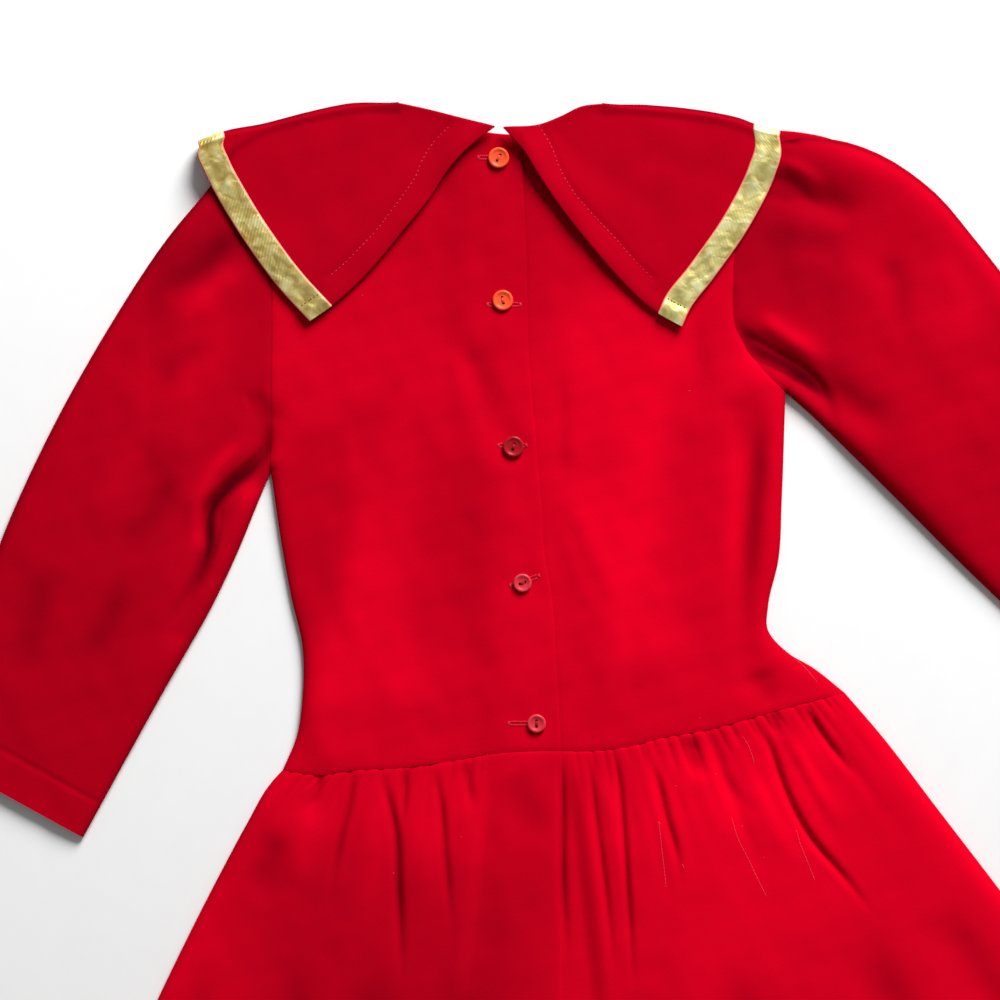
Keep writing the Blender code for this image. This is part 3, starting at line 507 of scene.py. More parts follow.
# %% Distance to a seam, and the rise of the main folds
def distance_to(plan, line):
    """Shortest distance in plan from each place to a line of points."""
    runs = np.diff(line, axis=0)
    moving = (runs ** 2).sum(-1) > 1e-6
    starts = line[:-1][moving]
    runs = runs[moving]
    away = plan[..., None, :] - starts
    share = np.clip((away * runs).sum(-1) / (runs * runs).sum(-1), 0, 1)
    return np.linalg.norm(away - share[..., None] * runs, axis=-1).min(-1)


def folded_edges():
    """Lines of the side folds and seams where the front and back layers meet."""
    shares = np.linspace(0, 1, 40)
    runs = (
        (LEFT_SHOULDER, LEFT_SLEEVE_OUTER),
        (RIGHT_SHOULDER, RIGHT_SLEEVE_OUTER),
        (LEFT_SLEEVE_INNER[::-1], LEFT_SIDE, LEFT_SKIRT_SIDE),
        (RIGHT_SLEEVE_INNER[::-1], RIGHT_SIDE, RIGHT_SKIRT_SIDE),
    )
    return [np.vstack([curve(piece)(shares) for piece in run]) for run in runs]


EDGE_LINES = folded_edges()
LAP_X, LAP_Y = np.array(BUTTON_LINE, float).T


def folds_rise(plan):
    """Height that the soft folds add, each fading at both ends."""
    total = np.zeros(plan.shape[:-1])
    for fold in FOLDS:
        start = np.array([fold.x1, fold.y1])
        run = np.array([fold.x2, fold.y2]) - start
        share = (plan - start) @ run / (run @ run)
        nearest = start + np.clip(share, 0, 1)[..., None] * run
        away = np.linalg.norm(plan - nearest, axis=-1)
        total += fold.rise * np.exp(-(away / fold.width) ** 2)
    return total


print(len(EDGE_LINES), "folded edges")


# %% Underside of the front layer, and the air above it
def front_low(plan, ramp=STACK_RAMP):
    """Underside of the front layer: on the floor, and lifted over the front collar within a ramp."""
    over = smooth(plan[..., 1], COLLAR_DROP - ramp, COLLAR_DROP)
    beside = 1 - smooth(abs(plan[..., 0] - COLLAR_MIDDLE), COLLAR_REACH, COLLAR_REACH + STACK_RAMP)
    return COLLAR_STACK * over * beside


def arm_share(plan, arm):
    """How far a place lies inside one sleeve, and how far it is along it from the head to the cuff."""
    x = plan[..., 0]
    y = plan[..., 1]
    out = smooth(x * arm.side, arm.starts, arm.starts + ARM_BLEND)
    above = smooth(y - arm.line_y + arm.slope * (x * arm.side - arm.starts), *ARM_LINE_BLEND)
    head = np.array([arm.head_x, arm.head_y])
    run = np.array([arm.cuff_x, arm.cuff_y]) - head
    return out * above, (plan - head) @ run / (run @ run)


def air_height(plan):
    """Air that the two layers hold, before folds: most in the sleeves and least at the neck and cuffs."""
    y = plan[..., 1]
    air = NECK_AIR + (BODY_AIR - NECK_AIR) * smooth(-y, *NECK_BLEND)
    air += (SKIRT_AIR - BODY_AIR) * smooth(-y, *WAIST_BLEND)
    for arm in ARMS:
        inside, along = arm_share(plan, arm)
        sleeve = SLEEVE_AIR + (CUFF_AIR - SLEEVE_AIR) * smooth(along, 0.45, 1)
        air += inside * (sleeve - air)
    return air


print("the sleeves hold up to", SLEEVE_AIR, "mm of air")


# %% Underside of the back layer
def lap_lift(plan):
    """Lift of the upper lap over the lower one, carried a little past both its edges."""
    aside = plan[..., 0] - np.interp(-plan[..., 1], -LAP_Y, LAP_X)
    rises = smooth(aside, -LAP_HALF - LAP_RISE, -LAP_HALF - 2)
    falls = 1 - smooth(aside, LAP_HALF + 2, LAP_HALF + LAP_RISE)
    return LAP_LIFT * rises * falls


def edge_share(plan):
    """0 on a folded edge, rising quickly to 1 inside it."""
    away = np.min([distance_to(plan, line) for line in EDGE_LINES], axis=0)
    return (1 - np.exp(-away / EDGE_ROLL)) ** EDGE_POWER


def back_low(plan, bulge=0.0):
    """Underside of the back layer: on the front layer at the folded edges and above it inside them.

    Below the collar it comes down more slowly than the front layer does, over the eased ramp.
    """
    low = front_low(plan)
    eased = front_low(plan, EASED_RAMP)
    room = (air_height(plan) + folds_rise(plan) + bulge + eased - low) * edge_share(plan)
    return low + CLOTH + GAP + np.maximum(room, 0)


def normals(points):
    """Unit normals of a grid of points, up on a patch whose rows run down the dress."""
    along = np.gradient(points, axis=0)
    across = np.gradient(points, axis=1)
    facing = np.cross(along, across)
    return facing / np.linalg.norm(facing, axis=-1, keepdims=True)


print("the back lies", back_low(np.array([[60.0, -220.0]]))[0].round(1), "mm above the floor")

# %% [markdown]
# ## Creases
#
# Cloth that was folded, worn and laid down by hand is never even. Each row below is one crease: how
# far it rises or sinks, how wide it is, and the route that it takes. They are laid out one by one, with
# no two alike, because creases made by a formula look like waves on water. A crease fades at both ends.

# %% Creases of the bodice
Crease = namedtuple("Crease", "rise width route")

BODICE_CREASES = table(Crease,
    (-0.9, 7, ((-20, -121), (-13, -142), (-6, -166), (7, -182))),
    (0.8, 8, ((-30, -124), (-20, -148), (-13, -171))),
    (-0.4, 8, ((25, -187), (45, -197), (72, -203))),
    (-3.0, 5.5, ((154, -160), (151, -197), (147, -238), (142, -297))),
    (1.6, 8, ((141, -171), (137, -226), (131, -287))),
    (-1.4, 8, ((151, -312), (156, -325), (161, -338))),
    (-0.6, 4, ((38, -137), (38, -180), (38, -217))),
    (-0.5, 5, ((38, -217), (55, -261), (73, -293))),
    (-0.8, 9, ((-84, -197), (-91, -249), (-99, -312))),
    (0.7, 14, ((-65, -203), (-56, -261), (-45, -313))),
    (-0.7, 8, ((-114, -226), (-97, -273), (-85, -325))),
    (0.8, 12, ((83, -145), (83, -203), (78, -273))),
    (-0.9, 7, ((112, -99), (118, -133), (115, -174))),
    (-0.25, 8, ((28, -267), (48, -276), (74, -281))),
    (-0.3, 8, ((2, -267), (-24, -276), (-50, -283))),
    (-0.25, 8, ((16, -104), (37, -109), (60, -108))),
    (-0.25, 8, ((-10, -106), (-30, -116), (-48, -121))),
    (-0.25, 8, ((2, -351), (-24, -347), (-56, -353))),
    (-0.25, 8, ((37, -349), (66, -343), (97, -342))),
    (0.2, 10, ((60, -296), (92, -302), (129, -296))),
    (-0.25, 8, ((71, -325), (106, -314), (138, -312))))

print(len(BODICE_CREASES), "creases on the bodice")

# %% Creases of the sleeves
SLEEVE_CREASES = table(Crease,
    (-5.6, 3.6, ((-133, -164), (-135, -187), (-157, -209), (-165, -219), (-167, -243), (-175, -263),
        (-193, -289))),
    (2.2, 5, ((-141, -176), (-163, -198), (-173, -216), (-176, -242), (-184, -262))),
    (1.6, 6, ((-128, -180), (-133, -200), (-150, -219), (-158, -240))),
    (-0.8, 5, ((-147, -159), (-140, -157), (-132, -154))),
    (-2.0, 8, ((-146, -58), (-158, -68), (-174, -84), (-197, -99))),
    (2.0, 9, ((-146, -77), (-164, -95), (-186, -114))),
    (-1.3, 8, ((-165, -122), (-186, -140), (-207, -159))),
    (-1.4, 7, ((-185, -197), (-201, -226), (-223, -255))),
    (1.1, 10, ((-201, -174), (-219, -203), (-236, -238))),
    (-1.6, 8, ((-216, -262), (-228, -290), (-246, -318))),
    (-1.3, 10, ((-258, -250), (-272, -292), (-280, -330))),
    (-1.8, 3.4, ((-136, -29), (-143, -38), (-147, -49))),
    (-1.5, 3.4, ((-136, -49), (-146, -57), (-150, -64))),
    (-4.4, 4.0, ((137, -109), (149, -126), (169, -137), (187, -150), (198, -174))),
    (-1.4, 5, ((168, -138), (180, -148), (188, -161))),
    (2.2, 6, ((148, -106), (170, -122), (194, -137))),
    (-0.6, 3, ((137, -88), (137, -113))),
    (-1.0, 3.2, ((158, -26), (171, -32), (179, -38), (187, -43), (197, -40))),
    (1.3, 4.0, ((160, -17), (174, -22), (184, -29), (190, -36))),
    (-2.0, 2.8, ((164, -3), (170, -5), (178, -8))),
    (-1.1, 9, ((148, -68), (176, -65), (205, -73))),
    (-1.7, 8, ((222, -70), (234, -99), (231, -128))),
    (1.1, 10, ((251, -70), (269, -104), (271, -139))),
    (-1.7, 7, ((298, -139), (315, -174), (317, -209))),
    (-1.3, 7, ((361, -215), (344, -249), (327, -267))))

print(len(SLEEVE_CREASES), "creases on the sleeves")

# %% Creases of the skirt
SKIRT_CREASES = table(Crease,
    (-2.4, 2.3, ((-84, -368), (-84, -380), (-90, -408), (-98, -447))),
    (-3.8, 2.5, ((-68, -368), (-66, -377), (-59, -405), (-57, -442), (-55, -496))),
    (-2.2, 2.2, ((-53, -368), (-54, -389), (-56, -407))),
    (-2.6, 2.4, ((-37, -367), (-33, -389), (-30, -422), (-26, -467))),
    (-1.8, 2.2, ((-102, -371), (-105, -386), (-111, -396))),
    (-1.6, 2.8, ((-18, -365), (-17, -380), (-13, -396))),
    (1.6, 11, ((-107, -389), (-112, -412), (-119, -441))),
    (-1.8, 9, ((-124, -406), (-132, -427), (-143, -449))),
    (1.0, 9, ((-75, -389), (-72, -423), (-76, -470))),
    (1.0, 8, ((-45, -389), (-42, -423), (-40, -464))),
    (-1.3, 10, ((6, -372), (18, -397), (30, -419))),
    (-3.2, 2.4, ((37, -358), (38, -389), (38, -432), (41, -487))),
    (-1.2, 6, ((44, -368), (45, -400), (46, -430))),
    (-2.8, 2.2, ((53, -360), (56, -388), (63, -442), (68, -490))),
    (-3.8, 1.9, ((68, -357), (72, -388), (75, -430), (79, -499))),
    (-3.0, 2.4, ((91, -366), (94, -380), (98, -398), (104, -420), (106, -440))),
    (-1.5, 4.5, ((126, -348), (132, -375), (152, -401))),
    (-3.4, 2.3, ((153, -339), (160, -362), (168, -385), (180, -408), (200, -432), (221, -458))),
    (-1.8, 2.8, ((160, -337), (162, -346), (165, -353))),
    (-3.4, 2.4, ((178, -333), (185, -345), (194, -358), (208, -376))),
    (1.0, 5, ((85, -368), (89, -397), (93, -429))),
    (1.1, 6, ((65, -374), (70, -412), (72, -452))),
    (1.2, 9, ((117, -357), (127, -389), (142, -425))),
    (1.3, 6, ((172, -347), (180, -374), (198, -403))),
    (1.2, 7, ((147, -371), (160, -403), (180, -438))),
    (-2.6, 4, ((112, -351), (114, -365), (118, -378))),
    (-2.2, 12, ((-114, -481), (-123, -551), (-136, -621))),
    (-2.4, 13, ((-72, -481), (-76, -557), (-82, -638))),
    (-2.2, 12, ((-24, -481), (-23, -563), (-24, -644))),
    (-2.4, 12, ((83, -496), (97, -563), (108, -644))),
    (-2.2, 12, ((132, -481), (155, -551), (179, -626))),
    (-2.4, 13, ((205, -464), (240, -528), (272, -592))),
    (-2.0, 12, ((251, -447), (286, -499), (321, -551))),
    (-1.8, 10, ((-164, -481), (-184, -539), (-201, -592))))


print(len(SKIRT_CREASES), "creases on the skirt")

# %% Height that creases add
START_FADE = 0.3
END_FADE = 0.45
CREASE_REACH = 2.6


def crease_height(plan, creases):
    """Height that creases add, each fading along its route."""
    total = np.zeros(plan.shape[:-1])
    for crease in creases:
        route = curve(crease.route)(np.linspace(0, 1, 4 * len(crease.route)))
        reach = CREASE_REACH * crease.width
        near = ((plan > route.min(axis=0) - reach) & (plan < route.max(axis=0) + reach)).all(axis=-1)
        if not near.any():
            continue
        away = plan[near][:, None, :] - route[:-1]
        runs = np.diff(route, axis=0)
        share = np.clip((away * runs).sum(-1) / (runs * runs).sum(-1), 0, 1)
        gaps = np.linalg.norm(away - share[..., None] * runs, axis=-1)
        closest = gaps.argmin(axis=1)
        rows = np.arange(len(closest))
        along = (closest + share[rows, closest]) / len(runs)
        fade = smooth(along, -0.02, START_FADE) * (1 - smooth(along, 1 - END_FADE, 1.02))
        total[near] += crease.rise * fade * np.exp(-(gaps[rows, closest] / crease.width) ** 2)
    return total


print("a crease fades over", START_FADE, "of its length at its start and", END_FADE, "at its end")

# %% [markdown]
# ## Velveteen
#
# Velveteen is a cotton cloth with a very short, dense pile that is cut and brushed one way. It was
# dyed a deep red. The pile swallows light that falls straight on it, so it has almost no gloss, and its
# fibre tips catch light from the side, which is what a sheen layer does. Its lighter and darker patches
# are mostly painted light and shade, with only part of the difference between panels coming from pile
# brushed another way, and the near-black deep in a crease is painted shade. Those patches can't come
# from a pattern, so each point of the cloth carries a number for its pile and painted light, and the
# material blends two reds by it.

# %% Velveteen: brushed cotton pile, deep red and matt, with a soft bright edge on folds
PILE_TUFT = 0.8
PILE_ROW = 2.2
PILE_MOTTLE = 9.0
PILE_CLOUD = 42.0
PILE_DEPTH = 0.25

# How much each unevenness of the pile adds to the nap, and half of both together, taken off again
CLOUD_SHARE = 0.07
MOTTLE_SHARE = 0.05
NAP_OFFSET = 0.06


def velveteen(name, dark, bright):
    """Dyed cotton pile whose red follows the level of pile and painted light stored on the mesh."""
    material, shader = new_material(
        name, Roughness=0.95, Specular_IOR_Level=0.01, Sheen_Weight=0.16, Sheen_Roughness=0.45,
        Sheen_Tint=linear("#ff0828"))
    place = add_node(material, "TexCoord").outputs["Object"]
    nap = add_node(material, "Attribute", {"attribute_name": "nap"}).outputs["Fac"]
    cloud = add_node(material, "TexNoise", Vector=place, Scale=per_mm(PILE_CLOUD), Detail=3.0)
    mottle = add_node(material, "TexNoise", Vector=place, Scale=per_mm(PILE_MOTTLE), Detail=4.0)
    cloudy = add_node(material, "Math", {"operation": "MULTIPLY_ADD"},
                      in0=cloud.outputs["Fac"], in1=CLOUD_SHARE, in2=nap)
    mottled = add_node(material, "Math", {"operation": "MULTIPLY_ADD"},
                       in0=mottle.outputs["Fac"], in1=MOTTLE_SHARE, in2=cloudy.outputs[0])
    level = add_node(material, "Math", {"operation": "SUBTRACT", "use_clamp": True},
                     in0=mottled.outputs[0], in1=NAP_OFFSET)
    red = add_node(material, "Mix", {"data_type": "RGBA"}, in0=level.outputs[0],
                   in6=linear(dark), in7=linear(bright))
    link(material, red.outputs[2], shader.inputs["Base Color"])
    rows = add_node(material, "Mapping", Vector=place,
                    Scale=(per_mm(PILE_TUFT), per_mm(PILE_ROW), per_mm(PILE_TUFT)))
    tufts = add_node(material, "TexNoise", Vector=rows.outputs[0], Scale=1.0, Detail=2.0)
    bump = add_node(material, "Bump", Strength=0.35, Distance=PILE_DEPTH * MM,
                    Height=tufts.outputs["Fac"])
    link(material, bump.outputs[0], shader.inputs["Normal"])
    return material


# The near-black end of the blend is painted shade, for the deepest creases
cloth = velveteen("dyed_cotton_velveteen", "#3c000a", "#e60022")
print("pile drawn", PILE_TUFT, "mm across, coarser than the real 0.2 mm, so that it shows")

# %% [markdown]
# ## Pile and painted light
#
# The patches follow the photograph and are painted light and shade: a bright V on the right of the back,
# a bright triangle on the left, a darker band across the top, darker bands beside folds, and a brighter
# skirt, most of all on the right, with a painted shadow on its lower left. The collar and sleeves are
# darker, partly from their pile and partly from painted shade. Each patch is a convex shape with soft
# edges. Painted shade also darkens the folded edges and the lap's edge.

# %% Pile and painted light of each panel, and the patches of painted light and shade
# Level of each panel, partly its pile and partly painted light, then the painted light that a crease's
# height adds, and the painted shade along a folded edge and the lap's edge
BODICE_NAP_AND_LIGHT = 0.74
SLEEVE_NAP_AND_LIGHT = 0.52
COLLAR_NAP_AND_LIGHT = 0.47
SKIRT_NAP_AND_LIGHT = 0.8
CREASE_PAINTED_LIGHT = 0.085
EDGE_PAINTED_SHADE = 0.16
EDGE_PAINTED_SHADE_WIDTH = 2.2
LAP_PAINTED_SHADE = 0.08
LAP_PAINTED_SHADE_WIDTH = 1.6
LAP_LINE = curve(LAP_EDGE)(np.linspace(0, 1, 60))

# A patch of painted light and shade: a lift above zero is painted light and one below zero painted shade;
# the one over the lower left of the skirt is a painted shadow
LightPatch = namedtuple("LightPatch", "lift soft corners")
PAINTED_LIGHT_PATCHES = table(LightPatch,
    (0.13, 12, ((36, -90), (38, -215), (74, -300), (118, -90))),
    (0.13, 12, ((38, -215), (70, -310), (112, -310), (100, -215))),
    (0.17, 10, ((-83, -186), (-104, -330), (-36, -330))),
    (0.04, 6, ((0, -125), (12, -318), (41, -318), (33, -125))),
    (-0.2, 55, ((-190, 90), (-190, -70), (20, -115), (190, -70), (190, 90))),
    (-0.1, 8, ((146, -150), (140, -300), (148, -300), (156, -150))),
    (-0.1, 10, ((-60, -150), (-122, -180), (-122, -300), (-100, -300))),
    (-0.1, 14, ((-40, -180), (-60, -290), (-10, -300), (4, -200))),
    (-0.07, 14, ((-6, -375), (8, -440), (34, -455), (38, -360))),
    (0.1, 16, ((-170, -80), (-215, -150), (-190, -180), (-150, -120))),
    (-0.09, 14, ((-150, -50), (-200, -70), (-200, -100), (-160, -90))),
    (0.08, 18, ((210, -60), (190, -110), (260, -190), (300, -150))),
    (-0.22, 30, ((-160, -395), (-80, -400), (30, -440), (30, -560), (-130, -560))),
    (0.1, 20, ((84, -366), (190, -356), (220, -440), (120, -500))))


print(len(PAINTED_LIGHT_PATCHES), "brushed patches")


# %% Pile and painted light at each point
def patch_share(plan, corners, soft):
    """1 inside a convex shape and 0 outside, whichever way round its corners run."""
    points = np.array(corners, float)
    centre = points.mean(axis=0)
    inside = np.full(plan.shape[:-1], np.inf)
    for start, end in zip(points, np.roll(points, -1, axis=0)):
        run = end - start
        square = np.array([-run[1], run[0]]) / np.linalg.norm(run)
        square *= np.sign((centre - start) @ square)
        inside = np.minimum(inside, (plan - start) @ square)
    return smooth(inside, -soft, soft)


def nap_of(plan, level, creases=(), patches=PAINTED_LIGHT_PATCHES):
    """How far each point is towards the bright red: its panel's level, painted shade in a trough and painted
    light on a ridge, the patches of painted light and shade, and painted shade along folded edges and the
    lap's edge.
    """
    level = level + CREASE_PAINTED_LIGHT * crease_height(plan, creases)
    for painted_light in patches:
        level = level + painted_light.lift * patch_share(plan, painted_light.corners, painted_light.soft)
    for line in EDGE_LINES:
        level = level - EDGE_PAINTED_SHADE * np.exp(-(distance_to(plan, line) / EDGE_PAINTED_SHADE_WIDTH) ** 2)
    level = level - LAP_PAINTED_SHADE * np.exp(-(distance_to(plan, LAP_LINE) / LAP_PAINTED_SHADE_WIDTH) ** 2)
    return np.clip(level, 0, 1)


print("nap in the middle of the back is", nap_of(np.array([[60.0, -220.0]]), BODICE_NAP_AND_LIGHT)[0].round(2))

# %% [markdown]
# ## Shells
#
# A cloth panel is a closed shell: a grid of points on its middle, moved out by half the cloth's
# thickness to one side and back by half to the other, with the two sides joined round the rim. The
# thickness narrows over the last millimetres, so cut and folded edges look soft and not sliced.

# %% Faces of grids
# Distances in millimetres from an edge, and the share of the thickness at the edge and at each of them
EDGE_STEPS = (0.3, 0.9, 1.8, 3.0)
EDGE_ROUND = (0.3, 0.72, 0.93, 1.0)
SEAM_ROUND = (0.8, 0.95, 1.0, 1.0)
LAP_ROUND = (0.1, 0.4, 0.75, 0.95)


def spaced(length, spacing):
    """Shares of a length, evenly spaced, with extra ones close to both ends."""
    inner = np.linspace(EDGE_STEPS[-1], length - EDGE_STEPS[-1], max(4, round(length / spacing)))
    near = np.array((0.0,) + EDGE_STEPS[:-1])
    return np.concatenate([near, inner, length - near[::-1]]) / length


def grid_faces(rows, columns, start=0, round_it=False):
    """Faces of a grid of points stored row by row, whose columns may run all the way round."""
    here = np.arange(columns if round_it else columns - 1)
    beside = (here + 1) % columns
    corner = start + np.arange(rows - 1)[:, None] * columns
    return np.stack([corner + here, corner + columns + here, corner + columns + beside, corner + beside],
                    axis=-1).reshape(-1, 4)


def rim_faces(rows, columns):
    """Faces that join a grid to its copy stored after it, round the edge."""
    cells = np.arange(rows * columns).reshape(rows, columns)
    border = np.concatenate([cells[0], cells[1:, -1], cells[-1, -2::-1], cells[-2:0:-1, 0]])
    onward = np.roll(border, -1)
    below = rows * columns
    return np.stack([border, onward, onward + below, border + below], axis=-1)


def facing_outward(points, faces):
    """The faces, turned round if they enclose their volume inside out."""
    a, b, c, d = (points[faces[:, corner]] for corner in range(4))
    volume = (a * (np.cross(b, c) + np.cross(c, d))).sum()
    return faces if volume > 0 else faces[:, ::-1]


print("edges round off over", EDGE_STEPS[-1], "mm")


# %% Pieces and shells
def add_piece(name, mesh, place=(0, 0, 0), turn=0.0):
    """A piece of the dress, on its one body."""
    piece = bpy.data.objects.new(name, mesh)
    piece.location = place
    piece.rotation_euler = (0, 0, turn)
    bpy.context.scene.collection.objects.link(piece)
    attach(piece, "root")
    return piece


def add_mesh(name, points, faces, material, nap=None, weave=None):
    """A piece of the dress from points in millimetres, with its pile and painted light and its place along
    the weave.
    """
    mesh = bpy.data.meshes.new(name)
    mesh.from_pydata(world(points).tolist(), [], faces.tolist())
    mesh.materials.append(material)
    mesh.shade_smooth()
    if nap is not None:
        mesh.attributes.new("nap", "FLOAT", "POINT").data.foreach_set("value", nap.astype(np.float32))
    if weave is not None:
        corner = np.empty(len(mesh.loops), np.int32)
        mesh.loops.foreach_get("vertex_index", corner)
        places = weave[corner].astype(np.float32).ravel()
        mesh.uv_layers.new(name="weave").data.foreach_set("uv", places)
    return add_piece(name, mesh)


def edge_rounding(rows, columns, left=EDGE_ROUND, right=EDGE_ROUND, top=EDGE_ROUND, bottom=EDGE_ROUND):
    """Share of the thickness at each point: less beside each side, by how much it is rounded there."""
    share = np.ones((rows, columns))
    for step in range(len(EDGE_ROUND)):
        share[:, step] *= left[step]
        share[:, -1 - step] *= right[step]
        share[step] *= top[step]
        share[-1 - step] *= bottom[step]
    return share


def add_shell(name, middle, half, material, nap=None, weave=None):
    """A closed shell round a grid of middle points, with half its thickness to each side."""
    rows, columns = middle.shape[:2]
    offset = normals(middle) * np.broadcast_to(half, (rows, columns))[..., None]
    points = np.concatenate([(middle + offset).reshape(-1, 3), (middle - offset).reshape(-1, 3)])
    face = grid_faces(rows, columns)
    faces = np.concatenate([face, face[:, ::-1] + rows * columns, rim_faces(rows, columns)])
    both = None if nap is None else np.tile(nap.ravel(), 2)
    lengthwise = None if weave is None else np.tile(weave.reshape(-1, 2), (2, 1))
    return add_mesh(name, points, facing_outward(points, faces), material, both, lengthwise)


print("a lap's edge narrows to", LAP_ROUND[0], "of the cloth")

# %% [markdown]
# ## The back layer as it really lies
#
# On the solid's own height go the creases, a slow unevenness from wear, the dimples that the buttons
# press, and the narrow valley along each seam and hem, where the sewing pulls the cloth down.

# %% Sizes of wear, dimples and valleys
SEAM_VALLEY = 0.3
SEAM_WIDTH = 1.6
SEAM_GAP = 0.05
HEM_VALLEY = 0.45
HEM_DEPTH = 22.0
DIMPLE = 0.7
DIMPLE_WIDTH = 8.0
WEAR = 0.13
WEAR_SIZE = 52.0
RIPPLE = 0.08
RIPPLE_SIZE = 17.0
WAVES = 14

print("valley of", SEAM_VALLEY, "mm along each seam")


# %% Height of the back layer with its creases
def unevenness(plan, height, size, seed):
    """Slow waves of mixed lengths and directions, as worn cloth has."""
    random = np.random.default_rng(seed)
    total = np.zeros(plan.shape[:-1])
    for _ in range(WAVES):
        turn = random.uniform(0, 2 * math.pi)
        length = size * random.uniform(0.6, 1.9)
        phase = random.uniform(0, 2 * math.pi)
        across = plan[..., 0] * math.cos(turn) + plan[..., 1] * math.sin(turn)
        total += np.sin(across * 2 * math.pi / length + phase)
    return height * total / math.sqrt(WAVES / 2)


def lines_of(seams, count):
    """Each seam as a line of that many points."""
    return [curve(seam)(np.linspace(0, 1, count)) for seam in seams]


LEFT_CUFF = (LEFT_SLEEVE_OUTER[-1], LEFT_SLEEVE_INNER[-1])
RIGHT_CUFF = (RIGHT_SLEEVE_OUTER[-1], RIGHT_SLEEVE_INNER[-1])
SEAM_LINES = lines_of((LEFT_ARMHOLE, RIGHT_ARMHOLE, WAIST_SEAM), 60)
HEM_LINES = lines_of((HEM, LEFT_CUFF, RIGHT_CUFF), 40)


def detail(plan, creases):
    """What creases, wear, buttons and seams add to the back layer."""
    total = crease_height(plan, creases) + unevenness(plan, WEAR, WEAR_SIZE, 3)
    total += unevenness(plan, RIPPLE, RIPPLE_SIZE, 4)
    for button in BUTTONS:
        away = np.hypot(plan[..., 0] - button.x, plan[..., 1] - button.y)
        total -= DIMPLE * np.exp(-(away / DIMPLE_WIDTH) ** 2)
    for line in SEAM_LINES:
        total -= SEAM_VALLEY * np.exp(-(distance_to(plan, line) / SEAM_WIDTH) ** 2)
    for line in HEM_LINES:
        total -= HEM_VALLEY * np.exp(-((distance_to(plan, line) - HEM_DEPTH) / SEAM_WIDTH) ** 2)
    return total


UPPER_CREASES = BODICE_CREASES + SLEEVE_CREASES


def upper_low(plan):
    """Underside of the bodice's back and the sleeves' upper side."""
    return back_low(plan, detail(plan, UPPER_CREASES))


print(len(UPPER_CREASES), "creases on the bodice and sleeves")

# %% [markdown]
# ## The bodice
#
# The front is one panel, face down on the floor, and nothing of it shows from above. The back is two
# halves. The left one laps over the right one with a folded edge, and its buttonholes are in the lap.

# %% Plans of the bodice panels
# Spacing of points where the cloth shows and where it is hidden
FINE = 1.9
COARSE = 4.0

# Lengths that the points are spaced over, and share of a panel's side that is its armhole
ARMHOLE_LENGTH = 200
SIDE_LENGTH = 175
FRONT_WIDTH = 290
BACK_WIDTH = 160
ARMHOLE_SHARE = 0.53

# Shares of each panel's top edge at which its neck starts and ends
FRONT_NECK_SHARES = (0.27, 0.72)
LEFT_NECK_SHARE = 0.52
RIGHT_NECK_SHARE = 0.48


def bodice_rows(spacing):
    """Shares down a bodice panel: the armhole's, then the side seam's."""
    armhole = spaced(ARMHOLE_LENGTH, spacing) * ARMHOLE_SHARE
    side = ARMHOLE_SHARE + spaced(SIDE_LENGTH, spacing) * (1 - ARMHOLE_SHARE)
    return np.unique(np.concatenate([armhole, side]).round(6))


def body_edge(armhole, side):
    """One edge of the bodice: down the armhole, round the underarm and down the side seam."""
    return joined(curve(armhole), curve(side), ARMHOLE_SHARE)


def front_bodice_plan():
    """Plan of the hidden front bodice, with its lower neckline."""
    start, end = FRONT_NECK_SHARES
    far_side = joined(curve(FRONT_NECK), curve(RIGHT_SHOULDER[::-1]), (end - start) / (1 - start))
    top = joined(curve(LEFT_SHOULDER[::-1]), far_side, start)
    across, down = grid(spaced(FRONT_WIDTH, COARSE), bodice_rows(COARSE))
    left = body_edge(LEFT_ARMHOLE, LEFT_SIDE)
    right = body_edge(RIGHT_ARMHOLE, RIGHT_SIDE)
    return patch(top, curve(WAIST_SEAM), left, right, across, down)


def back_bodice_plan(side):
    """Plan of one back bodice half: the left one laps over the right one."""
    seam = curve(WAIST_SEAM)
    if side == "left":
        neck_share = LEFT_NECK_SHARE
        top = joined(curve(LEFT_SHOULDER[::-1]), curve(BACK_NECK_LEFT), neck_share)
        bottom = part_of(seam, 0, share_at_x(seam, LAP_EDGE[-1].x))
        borders = (body_edge(LEFT_ARMHOLE, LEFT_SIDE), curve(LAP_EDGE))
    else:
        neck_share = RIGHT_NECK_SHARE
        top = joined(curve(BACK_NECK_RIGHT), curve(RIGHT_SHOULDER), neck_share)
        bottom = part_of(seam, share_at_x(seam, UNDER_EDGE[-1].x), 1)
        borders = (curve(UNDER_EDGE), body_edge(RIGHT_ARMHOLE, RIGHT_SIDE))
    columns = np.unique(np.append(spaced(BACK_WIDTH, FINE), neck_share))
    across, down = grid(columns, bodice_rows(FINE))
    return patch(top, bottom, *borders, across, down)


front_plan = front_bodice_plan()
left_plan = back_bodice_plan("left")
right_plan = back_bodice_plan("right")
print("the left half has", left_plan.shape[0], "rows of", left_plan.shape[1], "points")


# %% Bodice panels
def add_panel(name, node, plan, low, nap, rounding):
    """A panel of the dress over its plan, in place of its plain solid."""
    middle = np.dstack([plan, low + CLOTH / 2])
    piece = add_shell(name, middle, CLOTH / 2 * rounding, cloth, nap)
    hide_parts(node)
    print(name, "has", len(piece.data.polygons), "faces")
    return piece


